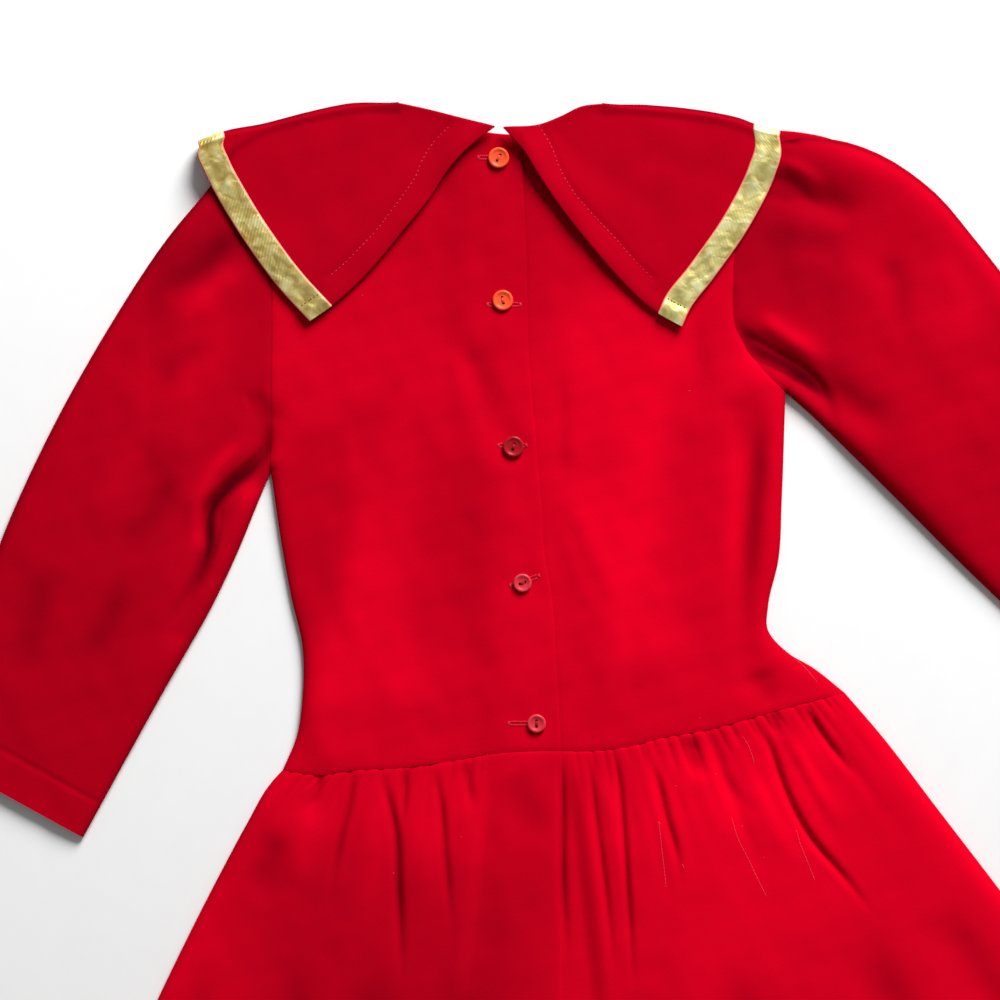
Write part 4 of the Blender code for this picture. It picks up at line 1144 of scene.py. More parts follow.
def seamed(plan, left=EDGE_ROUND, right=EDGE_ROUND):
    """Rounding of a bodice panel: hardly any where the armhole and the waist are sewn."""
    rounding = edge_rounding(*plan.shape[:2], left, right, EDGE_ROUND, SEAM_ROUND)
    sewn = edge_rounding(*plan.shape[:2], SEAM_ROUND, SEAM_ROUND, EDGE_ROUND, SEAM_ROUND)
    armhole = int(plan.shape[0] * ARMHOLE_SHARE)
    middle = plan.shape[1] // 2
    if left is EDGE_ROUND:
        rounding[:armhole, :middle] = sewn[:armhole, :middle]
    if right is EDGE_ROUND:
        rounding[:armhole, middle:] = sewn[:armhole, middle:]
    return rounding


front_bodice = add_panel(
    "front_bodice_cloth", "front_bodice", front_plan, front_low(front_plan),
    nap_of(front_plan, BODICE_NAP_AND_LIGHT), seamed(front_plan))
left_bodice = add_panel(
    "back_bodice_left_cloth", "back_bodice_left", left_plan, upper_low(left_plan) + lap_lift(left_plan),
    nap_of(left_plan, BODICE_NAP_AND_LIGHT, UPPER_CREASES), seamed(left_plan, right=LAP_ROUND))
right_bodice = add_panel(
    "back_bodice_right_cloth", "back_bodice_right", right_plan, upper_low(right_plan),
    nap_of(right_plan, BODICE_NAP_AND_LIGHT, UPPER_CREASES), seamed(right_plan, left=LAP_ROUND))

# %% [markdown]
# ## The skirt
#
# A skirt panel is cut much wider than the waist and drawn up on two rows of gathering stitches before
# it is sewn on. At the seam the cloth stands in small tubes, a few millimetres wide and no two alike.
# They merge into fewer and wider folds lower down. The main gathers are those of the solid, the fine
# ones between them have random widths from a fixed seed, and the long folds come from the crease table.

# %% Gathers of the skirt
PUCKER_STEP = 5.4
PUCKER_DEPTH = 0.6
GATHER_CUT = 0.38
SKIRT_SOFTNESS = 0.8
PUCKER_REACH = 0.09
SHORT_REACH = 0.24

# Share of the skirt over which the bulge rises below the seam, and how much of it is gone at the hem
BULGE_RISE = 0.24
BULGE_LOSS = 0.35

# Stretch beside the lap that isn't gathered, from place to place on the seam, and its ramp at each end
PLAIN_FROM = 0
PLAIN_TO = 38
PLAIN_RAMP = 8


def puckers(x_at_seam, down, seed):
    """Small uneven gathers right under the seam."""
    random = np.random.default_rng(seed)
    total = np.zeros(down.shape)
    place = x_at_seam.min() + PUCKER_STEP
    while place < x_at_seam.max() - PUCKER_STEP:
        depth = PUCKER_DEPTH * random.uniform(0.4, 1.3)
        reach = PUCKER_REACH * random.uniform(0.35, 1.6)
        drift = random.uniform(-14, 14)
        width = random.uniform(0.9, 1.5) * (1 + down / PUCKER_REACH)
        fade = 1 - smooth(down, reach * 0.3, reach)
        total -= depth * fade * np.exp(-((x_at_seam - place - drift * down) / width) ** 2)
        place += PUCKER_STEP * random.uniform(0.4, 1.9)
    return total


def skirt_gathers(x_at_seam, down, gathers, seed):
    """Bulge of the gathered cloth, cut by a trough at each gather, and none on the plain stretch."""
    growth = smooth(down, 0.0, BULGE_RISE) * (1 - BULGE_LOSS * smooth(down, 0.3, 1))
    before = smooth(x_at_seam, PLAIN_FROM - PLAIN_RAMP, PLAIN_FROM)
    gathered = 1 - before * (1 - smooth(x_at_seam, PLAIN_TO, PLAIN_TO + PLAIN_RAMP))
    total = GATHER_BULGE * growth * gathered
    for gather in gathers:
        reach = gather.reach * SHORT_REACH
        width = GATHER_WIDTH * (1 + GATHER_SPREAD * down * gather.reach) ** 0.5
        fade = 1 - smooth(down, reach * 0.4, reach + 0.1)
        cut = GATHER_CUT * gather.depth * growth * fade
        total = total - cut * np.exp(-((x_at_seam - gather.x) / width) ** 2)
    return total + puckers(x_at_seam, down, seed) * gathered


print("a small gather about every", PUCKER_STEP, "mm")

# %% Skirt panels
GATHER_SPACING = 0.95
SKIRT_ROW_SPACING = 2.7
SKIRT_LENGTH = 300


def under_seam(plan, x, bodice):
    """Put a skirt's first row a gap below the lower edge of the bodice panel above it."""
    edge = bodice[-1]
    plan[0] = np.stack([x, np.interp(x, edge[:, 0], edge[:, 1]) - SEAM_GAP], axis=-1)


def back_skirt(side, bodice):
    """Plan and underside of one back skirt half."""
    seam = curve(WAIST_SEAM)
    hem = curve(HEM)
    if side == "left":
        ends = (WAIST_SEAM[0].x, LAP_EDGE[-1].x)
        hem_ends = (0, share_at_x(hem, SKIRT_LAP_FOOT.x))
        gathers = LEFT_GATHERS
        lap_side = curve((LAP_EDGE[-1], Place(38.2, -410), Place(37.7, -437), SKIRT_LAP_FOOT))
        borders = (curve(LEFT_SKIRT_SIDE), lap_side)
    else:
        ends = (UNDER_EDGE[-1].x, WAIST_SEAM[-1].x)
        hem_ends = (share_at_x(hem, SKIRT_UNDER_FOOT.x), 1)
        gathers = RIGHT_GATHERS
        borders = (curve((UNDER_EDGE[-1], SKIRT_UNDER_FOOT)), curve(RIGHT_SKIRT_SIDE))
    columns = spaced(ends[1] - ends[0], GATHER_SPACING)
    across, down = grid(columns, spaced(SKIRT_LENGTH, SKIRT_ROW_SPACING))
    top = part_of(seam, share_at_x(seam, ends[0]), share_at_x(seam, ends[1]))
    x_at_seam = ends[0] + across * (ends[1] - ends[0])
    plan = patch(top, part_of(hem, *hem_ends), *borders, across, down)
    under_seam(plan, x_at_seam[0], bodice)
    bulge = skirt_gathers(x_at_seam, down, gathers, seed=len(gathers))
    low = back_low(plan, bulge + SKIRT_SOFTNESS * detail(plan, SKIRT_CREASES))
    return plan, low + lap_lift(plan) if side == "left" else low


def front_skirt_plan(bodice):
    """Plan of the hidden front skirt, flat on the floor."""
    edge = bodice[-1, :, 0]
    across, down = grid((edge - edge[0]) / (edge[-1] - edge[0]), spaced(SKIRT_LENGTH, COARSE))
    sides = (curve(LEFT_SKIRT_SIDE), curve(RIGHT_SKIRT_SIDE))
    plan = patch(curve(WAIST_SEAM), curve(HEM), *sides, across, down)
    under_seam(plan, edge, bodice)
    return plan


def add_skirt(name, node, plan, low, cut, rests_on):
    """A skirt panel, sewn at its top and free at its other edges."""
    rounding = edge_rounding(*plan.shape[:2], top=SEAM_ROUND)
    nap = nap_of(plan, SKIRT_NAP_AND_LIGHT, SKIRT_CREASES)
    return add_panel(name, node, plan, low, nap, rounding)


front_skirt_place = front_skirt_plan(front_plan)
front_skirt = add_skirt(
    "front_skirt_cloth", "front_skirt", front_skirt_place, front_low(front_skirt_place), (0.62, 0.31), [])
left_skirt = add_skirt(
    "back_skirt_left_cloth", "back_skirt_left", *back_skirt("left", left_plan), (0.31, 0.305), [front_skirt])
right_skirt = add_skirt(
    "back_skirt_right_cloth", "back_skirt_right", *back_skirt("right", right_plan),
    (0.34, 0.305), [front_skirt])

# %% [markdown]
# ## The sleeves
#
# A sleeve is a tube that has been laid flat, so its rings run along the floor and back over the top,
# and its two long edges are folds, not cuts. Each fold is rounded by a few points on a half circle. The
# head is gathered into the armhole. The cuffs are outside the photograph, so they end plainly, with a
# shallow valley where a turned hem would be sewn.

# %% Plan of a sleeve
RING_SPACING = 1.7
ROUND_SPACING = 1.6
SLEEVE_LENGTH = 390
ARMHOLE_ROUND = 160

# Shares of the armhole at its two ends over which a sleeve's opening leaves the seam
HEAD_END = 0.04
UNDERARM_START = 0.95


def sleeve_plan(armhole, outer, inner):
    """Plan of a sleeve, a hair outside the armhole seam, with its rings from the armhole to the cuff."""
    start = curve(armhole)
    end = curve((outer[-1], inner[-1]))
    shift = np.array(outer[0]) - np.array(armhole[0])
    low_shift = np.array(inner[0]) - np.array(armhole[-1])

    def opening(share):
        turn = share[..., None]
        run = start(np.clip(share + 0.01, 0, 1)) - start(np.clip(share - 0.01, 0, 1))
        side = np.stack([run[..., 1], -run[..., 0]], axis=-1)
        side /= np.linalg.norm(side, axis=-1, keepdims=True)
        outward = side * np.sign(outer[-1].x) * -1.0
        head = smooth(turn, 0, HEAD_END)
        underarm = smooth(turn, UNDERARM_START, 1)
        ends = shift * (1 - head) + low_shift * underarm
        return start(share) + ends + outward * (head * (1 - underarm)) * SEAM_GAP

    across, down = grid(spaced(ARMHOLE_ROUND, ROUND_SPACING), spaced(SLEEVE_LENGTH, RING_SPACING))
    return patch(opening, end, curve(outer), curve(inner), across, down)


print("rings every", RING_SPACING, "mm along a sleeve")

# %% Rings of a sleeve
ROLL_ANGLES = (-60, -25, 25, 60)
DRAW_REACH = 12.0
UNDER_STEP = 3
INNER_STEP = 4


def every(step, count):
    """Every so many numbers of a count, and always the last one."""
    return np.unique(np.append(np.arange(0, count, step), count - 1))


def rolled_edge(plan, edge, beside, low, high, reverse):
    """Points round the fold at one edge of a sleeve, from its lower side to its upper one."""
    step = plan[:, edge] - plan[:, beside]
    step /= np.linalg.norm(step, axis=-1, keepdims=True)
    radius = (high[:, edge] - low[:, edge]) / 2
    middle = (high[:, edge] + low[:, edge]) / 2
    rows = []
    for angle in reversed(ROLL_ANGLES) if reverse else ROLL_ANGLES:
        turn = math.radians(angle)
        where = plan[:, edge] + step * (radius * math.cos(turn))[:, None]
        rows.append(np.dstack([where[:, None], (middle + radius * math.sin(turn))[:, None]]))
    return np.concatenate(rows, axis=1)


def sleeve_rings(plan, low, high):
    """Closed rings, a row each: along the lower side, round a fold, back over the top, round the other."""
    under = np.dstack([plan, low])[:, every(UNDER_STEP, plan.shape[1])]
    over = np.dstack([plan, high])[:, ::-1]
    right = rolled_edge(plan, -1, -2, low, high, False)
    left = rolled_edge(plan, 0, 1, low, high, True)
    return np.concatenate([under, right, over, left], axis=1)


def drawn_in(plan, step):
    """The plan with its two long edges eased in, to leave room for the rounded folds."""
    eased = plan.copy()
    for edge, beside in ((0, 6), (-1, -7)):
        inward = plan[:, beside] - plan[:, edge]
        inward /= np.linalg.norm(inward, axis=-1, keepdims=True)
        away = np.linalg.norm(plan - plan[:, edge][:, None], axis=-1)
        share = np.clip(1 - away / DRAW_REACH, 0, 1)
        eased += inward[:, None] * (step * share)[..., None]
    return eased


print("a sleeve's folds are rounded by", len(ROLL_ANGLES), "points")


# %% Sleeves
def add_sleeve(name, node, armhole, outer, inner):
    """A laid sleeve: an outer tube and a coarser inner one, joined at the armhole and at the cuff."""
    plan = drawn_in(sleeve_plan(armhole, outer, inner), CLOTH)
    low = front_low(plan)
    high = upper_low(plan)
    outside = sleeve_rings(plan, low, high + CLOTH)
    inner_low = low + CLOTH
    inside = sleeve_rings(plan, inner_low, np.maximum(high, inner_low + GAP))
    inside = inside[every(INNER_STEP, len(plan))]
    rows, around = outside.shape[:2]
    count = rows * around
    points = np.concatenate([outside.reshape(-1, 3), inside.reshape(-1, 3)])
    tube = grid_faces(rows, around, round_it=True)
    inner_tube = grid_faces(len(inside), around, count, round_it=True)
    here = np.arange(around)
    there = np.roll(here, -1)
    last = count - around
    inner_last = len(points) - around
    opening = np.stack([here, here + count, there + count, there], axis=-1)
    cuff = np.stack([last + here, last + there, inner_last + there, inner_last + here], axis=-1)
    faces = np.concatenate([tube, inner_tube[:, ::-1], opening, cuff])
    nap = nap_of(points[:, :2], SLEEVE_NAP_AND_LIGHT, UPPER_CREASES)
    piece = add_mesh(name, points, facing_outward(points, faces), cloth, nap)
    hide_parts(node)
    print(name, "has", len(faces), "faces")
    return piece


left_sleeve = add_sleeve(
    "sleeve_left_cloth", "sleeve_left", LEFT_ARMHOLE, LEFT_SLEEVE_OUTER, LEFT_SLEEVE_INNER)
right_sleeve = add_sleeve(
    "sleeve_right_cloth", "sleeve_right", RIGHT_ARMHOLE, RIGHT_SLEEVE_OUTER, RIGHT_SLEEVE_INNER)

# %% [markdown]
# ## The collar
#
# Each half of the collar is velveteen with turned edges. A second layer, if it has one, doesn't show, so
# it is one wall, thicker than the other cloth. It rolls over the neck seam, lies on the back as a long
# point, and folds over the shoulder to the front, where the body lies on it. The middle of the wall is
# worked out row by row: down the back, a half turn at the shoulder, and on along the floor. The turned
# edge makes a low ridge beside the centre back, and the tacking presses a shallow groove.

# %% Tacking lines and sizes of the collar
COLLAR_SPACING = 1.7
FRONT_SPACING = 2.6
COLLAR_WIDTH = 120
BACK_ROWS = spaced(135, COLLAR_SPACING)

# Half turn over the shoulder
TURN_DEPTH = 3.0
TURN_ANGLES = (15, 30, 48, 66, 82, 98, 114, 132, 150, 165)

# Groove at the tacking, ridge beside the turned edge, and room that the collar keeps above the bodice
GROOVE = 0.5
GROOVE_WIDTH = 2.4
EDGE_RIDGE = 0.45
RIDGE_PLACE = 4
COLLAR_ROOM = 0.3
COVER_REACH = 4
COVER_PASSES = 24

# Rise of the roll at the neck and how soon it fades, then the collar's own slow unevenness
ROLL_RISE = 0.9
ROLL_FADE = 9
COLLAR_WEAR = 0.12
COLLAR_WEAR_SIZE = 30

# Lip turned in at the neck: how far each of its points drops and goes out
LIPS = ((1.3, 0.1), (0.6, 0.35), (0.2, 0.3))

# Painted shade where the collar turns from level to upright
ROLL_PAINTED_SHADE = 0.3

LEFT_TACKING = table(Place,
    (-27.3, 1.9), (-34.2, -4.6), (-39.4, -11), (-43.5, -18.2), (-47.2, -27.3), (-53.7, -37), (-61.5, -47.4),
    (-69.2, -57.7), (-79.6, -68.7), (-89.9, -79.1), (-97.7, -85.6))
RIGHT_TACKING = table(Place,
    (23.7, 2.7), (31.2, -9.6), (36.5, -23.2), (44.7, -37), (55.7, -49.9), (68.2, -63), (78.9, -75.4),
    (89.9, -86.3))

print("collar turns", TURN_DEPTH, "mm deep over the shoulder")


# %% Middle of a collar half
def softened(heights, passes):
    """Heights of a grid, each averaged with its neighbours several times."""
    for _ in range(passes):
        wide = np.pad(heights, 1, mode="edge")
        upright = wide[1:-1, 1:-1] * 4 + wide[:-2, 1:-1] + wide[2:, 1:-1]
        heights = (upright + wide[1:-1, :-2] + wide[1:-1, 2:]) / 8
    return heights


def turn_depth(share):
    """Depth of the collar's half turn over the shoulder, shallow at the neck, where it meets the roll."""
    return TURN_DEPTH * (0.2 + 0.8 * smooth(share, 0, 0.25))


def collar_back_middle(plan, across, down, shape, tacking):
    """Middle height of the back collar: on the bodice and sleeve head, standing off at its free edge."""
    steps = np.array(((0, 0), (1, 0), (-1, 0), (0, 1), (0, -1))) * COVER_REACH
    cover = softened(np.max([upper_low(plan + step) for step in steps], axis=0), COVER_PASSES)
    cover += CLOTH + lap_lift(plan) + GAP + COLLAR_ROOM
    roll = ROLL_RISE * np.exp(-across * ROLL_FADE)
    free = shape.stand * (1 - smooth(down, 0, 0.42)) * (1 - 0.75 * smooth(across, 0.25, 1))
    shares = np.linspace(0, 1, 60)
    from_edge = distance_to(plan, curve(shape.centre)(shares))
    ridge = EDGE_RIDGE * np.exp(-((from_edge - RIDGE_PLACE) / RIDGE_PLACE) ** 2)
    groove = GROOVE * np.exp(-(distance_to(plan, curve(tacking)(shares)) / GROOVE_WIDTH) ** 2)
    worn = unevenness(plan, COLLAR_WEAR, COLLAR_WEAR_SIZE, 8)
    return cover + COLLAR_CLOTH / 2 + roll + free + ridge - groove + worn


def collar_middle(shape, tacking):
    """Middle surface of a collar half: back rows, the turn over the shoulder, then front rows."""
    inward = np.array(shape.inward)
    field = spaced(COLLAR_WIDTH, COLLAR_SPACING)
    front_rows = spaced(COLLAR_WIDTH, FRONT_SPACING)
    shares = np.linspace(0, 1, len(shape.shoulder))
    shifted = [Place(*(np.array(place) + inward * turn_depth(share)))
               for place, share in zip(shape.shoulder, shares)]
    back_roll = curve(shape.roll[:-1] + (shifted[0],))
    back_outer = curve(shape.outer[:-1] + (shifted[-1],))
    across, down = grid(field, BACK_ROWS)
    back = patch(curve(shape.centre), curve(shifted), back_roll, back_outer, across, down)
    back_height = collar_back_middle(back, across, down, shape, tacking)
    front_roll = curve((shifted[0],) + shape.front_roll[1:])
    front_outer = curve((shifted[-1],) + shape.front_outer[1:])
    across, down = grid(field, front_rows)
    front = patch(curve(shifted), curve(shape.front_centre), front_roll, front_outer, across, down)
    front_height = np.full(front.shape[:2], RIBBON_CLOTH + GAP + COLLAR_CLOTH / 2)
    rows = [np.dstack([back, back_height])]
    middle = (back_height[-1] + front_height[0]) / 2
    radius = (back_height[-1] - front_height[0]) / 2
    for angle in TURN_ANGLES:
        turn = math.radians(angle)
        plan = back[-1] - inward * turn_depth(field)[:, None] * math.sin(turn)
        rows.append(np.dstack([plan[None], (middle + radius * math.cos(turn))[None]]))
    rows.append(np.dstack([front, front_height]))
    return np.concatenate(rows)


print("collar's back part has", len(BACK_ROWS), "rows")


# %% Collar halves
def with_roll(middle):
    """The collar with a short lip at the neck, turned in over the cut edge of the bodice."""
    facing = normals(middle)
    facing *= np.sign(facing[5, 5, 2])
    reach = np.linalg.norm(middle[:, 1] - middle[:, 0], axis=-1, keepdims=True)
    outward = (middle[:, 0] - middle[:, 1]) / reach
    turned = smooth(np.arange(len(middle)), len(BACK_ROWS) - 8, len(BACK_ROWS))[:, None]
    into = facing[:, 0] * (1 - 0.8 * turned)
    lips = [middle[:, 0] - into * drop + outward * out for drop, out in LIPS]
    return np.concatenate([np.stack(lips, axis=1), middle], axis=1)


def add_collar(side, shape, tacking):
    """One collar half, from its middle surface, with its edges rounded."""
    middle = with_roll(collar_middle(shape, tacking))
    half = COLLAR_CLOTH / 2 * edge_rounding(*middle.shape[:2])
    upright = abs(normals(middle)[..., 2])
    painted_light = nap_of(middle[..., :2], COLLAR_NAP_AND_LIGHT, patches=())
    nap = np.clip(painted_light - ROLL_PAINTED_SHADE * smooth(upright, 0.97, 0.6), 0, 1)
    piece = add_shell("collar_" + side + "_cloth", middle, half, cloth, nap)
    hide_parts("collar_" + side)
    print(piece.name, "has", len(piece.data.polygons), "faces")
    return piece, middle


left_collar, left_middle = add_collar("left", LEFT_COLLAR, LEFT_TACKING)
right_collar, right_middle = add_collar("right", RIGHT_COLLAR, RIGHT_TACKING)

# %% [markdown]
# ## Gold ribbon
#
# The ribbon is woven from flat metal-coated yarn, which tailors call lame. It has fine slanting ribs,
# it creases at every bend and keeps the crease, and each facet sends light a different way, so it looks
# blotchy and not like plate. A metal shader with a rough finish gives the shine, slanting waves in the
# bump give the ribs, which show on some stretches only, and a slow noise gives the facets, both as bumps
# and as painted highlight and shade in the gold's colour. Its two woven edges are a thin line of pinkish
# yarn. The right ribbon is pressed almost smooth, and its paler gold is painted light.

# %% Lame: flat metal-coated yarn, woven, soft gold gloss with ribs and crushed facets
RIB_PITCH = 1.2
FACET = 8.0
RIB_PATCH = 45.0
EDGE_YARN = 1.1
CRUSH_DEPTH = 1.0
RIB_DEPTH = 0.2
METAL_SHARE = 0.82
FACET_LIGHT_STOPS = (0.3, 0.52, 0.72)


def lame_ribbon(name, ribbed_share, colours):
    """Woven gold ribbon, its ribs and edges placed by the weave map in millimetres."""
    material, shader = new_material(name, Roughness=0.42)
    weave = add_node(material, "UVMap", {"uv_map": "weave"}).outputs[0]
    ribs = add_node(material, "TexWave", {"bands_direction": "DIAGONAL"}, Vector=weave,
                    Scale=waves_every(RIB_PITCH), Distortion=1.4, Detail=2.0, Detail_Scale=0.6)
    facets = add_node(material, "TexNoise", Vector=weave, Scale=per_mm(FACET), Detail=2.0,
                      Roughness=0.45, Distortion=0.6)
    patches = add_node(material, "TexNoise", Vector=weave, Scale=per_mm(RIB_PATCH), Detail=0.0)
    shown = add_node(material, "MapRange",
                     in0=patches.outputs["Fac"], in1=0.42, in2=0.6, in3=0.15)
    raised = add_node(material, "Math", {"operation": "MULTIPLY"},
                      in0=ribs.outputs["Fac"], in1=shown.outputs[0])
    # The gold's colour follows the facets' noise, dark to near white: painted shade and highlight on the
    # facets
    gold = add_node(material, "ValToRGB", in0=facets.outputs["Fac"])
    stops = gold.color_ramp.elements
    stops[0].position = FACET_LIGHT_STOPS[0]
    stops[1].position = FACET_LIGHT_STOPS[2]
    stops.new(FACET_LIGHT_STOPS[1])
    for stop, colour in zip(stops, colours):
        stop.color = linear(colour)
    across = add_node(material, "SeparateXYZ", Vector=weave).outputs[0]
    from_middle = add_node(material, "Math", {"operation": "SUBTRACT"},
                           in0=across, in1=RIBBON_WIDTH / 2 * MM)
    aside = add_node(material, "Math", {"operation": "ABSOLUTE"}, in0=from_middle.outputs[0])
    edge = add_node(material, "MapRange", in0=aside.outputs[0],
                    in1=(RIBBON_WIDTH / 2 - EDGE_YARN) * MM, in2=(RIBBON_WIDTH / 2 - EDGE_YARN / 2) * MM)
    tint = add_node(material, "Mix", {"data_type": "RGBA"}, in0=edge.outputs[0],
                    in6=gold.outputs[0], in7=linear("#ec8a72"))
    link(material, tint.outputs[2], shader.inputs["Base Color"])
    metal = add_node(material, "MapRange", in0=edge.outputs[0], in3=METAL_SHARE, in4=0.0)
    link(material, metal.outputs[0], shader.inputs["Metallic"])
    crush = add_node(material, "Bump", Strength=0.5, Distance=CRUSH_DEPTH * MM,
                     Height=facets.outputs["Fac"])
    ribbed = add_node(material, "Bump", Strength=ribbed_share, Distance=RIB_DEPTH * MM,
                      Height=raised.outputs[0], Normal=crush.outputs[0])
    link(material, ribbed.outputs[0], shader.inputs["Normal"])
    return material


# The right ribbon's paler gold is painted light
lames = {"left": lame_ribbon("woven_gold_lame", 0.42, ("#bd9f52", "#e6d07e", "#fff4b0")),
         "right": lame_ribbon("crushed_gold_lame", 0.08, ("#c9b866", "#f2e596", "#fffac0"))}
print("ribs every", RIB_PITCH, "mm")

# %% [markdown]
# ## Ribbon on the collar
#
# The ribbon is sewn flat on the collar's outer edge, so its points are read from the collar's own
# surface over the last 16 mm of each row and moved out from it. Small random lifts along it show that
# it is a separate strip, and its end at the point is turned under, which makes it thicker there.

# %% Ribbons
RIBBON_SHELL = 0.34
RIBBON_COLUMNS = 19
RIBBON_CRINKLE = 0.16
CRINKLE_SIZE = 9
RIBBON_LIFT = 0.12
WOVEN_EDGE = 0.4
END_FOLD = 0.5
END_LENGTH = 9.0


def ribbon_middle(middle):
    """The collar's last stretch, as wide as the ribbon, read from its rows, and its place on the weave."""
    strips = []
    weaves = []
    along = 0.0
    before = None
    for row in middle:
        reached = np.concatenate([[0], np.cumsum(np.linalg.norm(np.diff(row, axis=0), axis=1))])
        wanted = reached[-1] - RIBBON_WIDTH * (1 - np.linspace(0, 1, RIBBON_COLUMNS))
        strip = np.stack([np.interp(wanted, reached, row[:, axis]) for axis in range(3)], axis=-1)
        if before is not None:
            along += np.linalg.norm(strip[RIBBON_COLUMNS // 2] - before)
        before = strip[RIBBON_COLUMNS // 2]
        strips.append(strip)
        weaves.append(np.stack([wanted - wanted[0], np.full(RIBBON_COLUMNS, along)], axis=-1))
    return np.array(strips), np.array(weaves) * MM, along


def add_ribbon(side, collar_points):
    """The ribbon of one collar half."""
    strip, weave, length = ribbon_middle(collar_points)
    facing = normals(strip)
    facing *= np.sign(facing[1, 1, 2])
    across = weave[..., 0] / MM / RIBBON_WIDTH
    crinkle = unevenness(weave / MM, RIBBON_CRINKLE, CRINKLE_SIZE, 21) * np.sin(across * math.pi) ** 0.5
    turned_end = END_FOLD * smooth(-weave[..., 1] / MM, -END_LENGTH - 0.5, -END_LENGTH + 0.5)
    lift = COLLAR_CLOTH / 2 + RIBBON_SHELL / 2 + RIBBON_LIFT + np.maximum(crinkle, 0) + turned_end
    out = strip + facing * lift[..., None]
    out[:, (0, -1)] -= facing[:, (0, -1)] * RIBBON_LIFT
    half = np.full(out.shape[:2], RIBBON_SHELL / 2)
    half[:, (0, -1)] *= WOVEN_EDGE
    piece = add_shell("ribbon_" + side + "_lame", out, half, lames[side], weave=weave)
    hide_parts("ribbon_" + side)
    print(piece.name, "is", round(length), "mm long")
    fold_row = np.searchsorted(weave[:, 0, 1] / MM, END_LENGTH)
    return piece, out[fold_row]


left_ribbon, left_fold = add_ribbon("left", left_middle)
right_ribbon, right_fold = add_ribbon("right", right_middle)

# %% [markdown]
# ## Buttons
#
# They are ordinary two-hole shirt buttons, turned from cast polyester. Two are coral, and three are
# darker reds, because some were replaced. The third is darker still, which is painted shade of the fold
# that it sits in. The face is dished inside a rounded rim. The lathe leaves faint rings, and the
# polished resin has a soft gloss. Each one is a turned profile with its holes cut through, and it sits
# on whatever cloth is highest under it, found by a ray from above.

# %% Cast polyester: polished resin, faintly swirled, with soft lathe rings
RING_PITCH = 0.45
RING_DEPTH = 0.05
SWIRL = 4.0


def polyester(name, dark, bright):
    """Polished cast resin with a faint swirl."""
    material, shader = new_material(name, Roughness=0.3, IOR=1.52, Specular_IOR_Level=0.2)
    place = add_node(material, "TexCoord").outputs["Object"]
    swirl = add_node(material, "TexNoise", Vector=place, Scale=per_mm(SWIRL), Detail=2.0,
                     Distortion=1.5)
    colour = add_node(material, "Mix", {"data_type": "RGBA"}, in0=swirl.outputs["Fac"],
                      in6=linear(dark), in7=linear(bright))
    link(material, colour.outputs[2], shader.inputs["Base Color"])
    rings = add_node(material, "TexWave", {"wave_type": "RINGS", "rings_direction": "Z"},
                     Vector=place, Scale=waves_every(RING_PITCH))
    bump = add_node(material, "Bump", Strength=0.12, Distance=RING_DEPTH * MM,
                    Height=rings.outputs["Fac"])
    link(material, bump.outputs[0], shader.inputs["Normal"])
    return material


coral = polyester("cast_coral_polyester", "#ee4622", "#ff6138")
dark_red = polyester("cast_red_polyester", "#c01a2a", "#dc4450")
# A darker copy of the red resin: painted shade for the third button, which sits in a fold
deep_red = polyester("cast_deep_red_polyester", "#8e0814", "#b01826")
print("lathe rings every", RING_PITCH, "mm")

# %% Half section of a button, and where it sits
TURNED_STEPS = 72
RIM_RADIUS = 0.95
RIM_MIDDLE = 1.25
FOOT = (0.5, 0.25)

# How far each point of the dished face is in from the outside and down from the top
DISH = ((1.5, 0.12), (2.0, 0.45), (2.7, 0.62))
DISH_MIDDLE = (0.45, 0.7)

# Ring of rays that finds the cloth under a button, as a share of its width, and the room left there
SAMPLE_RING = 12
SAMPLE_REACH = 0.42
SEAT_ROOM = 0.1


def surface_at(pieces, x, y):
    """Highest point, in pattern millimetres, where a ray from above meets the pieces."""
    start = Vector(world((x, y, 500)))
    found = []
    for piece in pieces:
        hit, place, _, _ = piece.ray_cast(start, Vector((0, 0, -1)))
        if hit:
            found.append(place.z / MM)
    return max(found) if found else 0.0


def button_profile(radius):
    """Half section of a button: places out from its axis and up."""
    turns = [math.radians(turn) for turn in range(0, 181, 15)]
    rim = [(radius - RIM_RADIUS + RIM_RADIUS * math.sin(turn), RIM_MIDDLE - RIM_RADIUS * math.cos(turn))
           for turn in turns]
    dish = [(radius - inward, BUTTON_DEPTH - down) for inward, down in DISH]
    middle = (DISH_MIDDLE[0] * radius, BUTTON_DEPTH - DISH_MIDDLE[1])
    return [(radius * FOOT[0], FOOT[1])] + rim + dish + [middle]


def circle(steps):
    """Unit directions, evenly spaced all the way round."""
    turns = np.linspace(0, 2 * math.pi, steps, endpoint=False)
    return np.stack([np.cos(turns), np.sin(turns)], axis=-1)


print("a button's half section has", len(button_profile(6.0)), "points")


# %% Buttons, turned and drilled
def turned_mesh(name, button, material):
    """A button before it is drilled: its half section turned all the way round and closed."""
    profile = np.array(button_profile(button.across / 2))
    outward = profile[:, None, :1] * circle(TURNED_STEPS)
    upward = np.repeat(profile[:, None, 1:], TURNED_STEPS, axis=1)
    side = np.concatenate([outward, upward], axis=-1).reshape(-1, 3)
    points = np.concatenate([side, [[0, 0, profile[0, 1]], [0, 0, profile[-1, 1]]]])
    faces = grid_faces(len(profile), TURNED_STEPS, round_it=True).tolist()
    under = len(side)
    last = under - TURNED_STEPS
    for step in range(TURNED_STEPS):
        beside = (step + 1) % TURNED_STEPS
        faces.append((under, step, beside))
        faces.append((under + 1, last + beside, last + step))
    mesh = bpy.data.meshes.new(name)
    mesh.from_pydata((points * MM).tolist(), [], faces)
    mesh.materials.append(material)
    return mesh


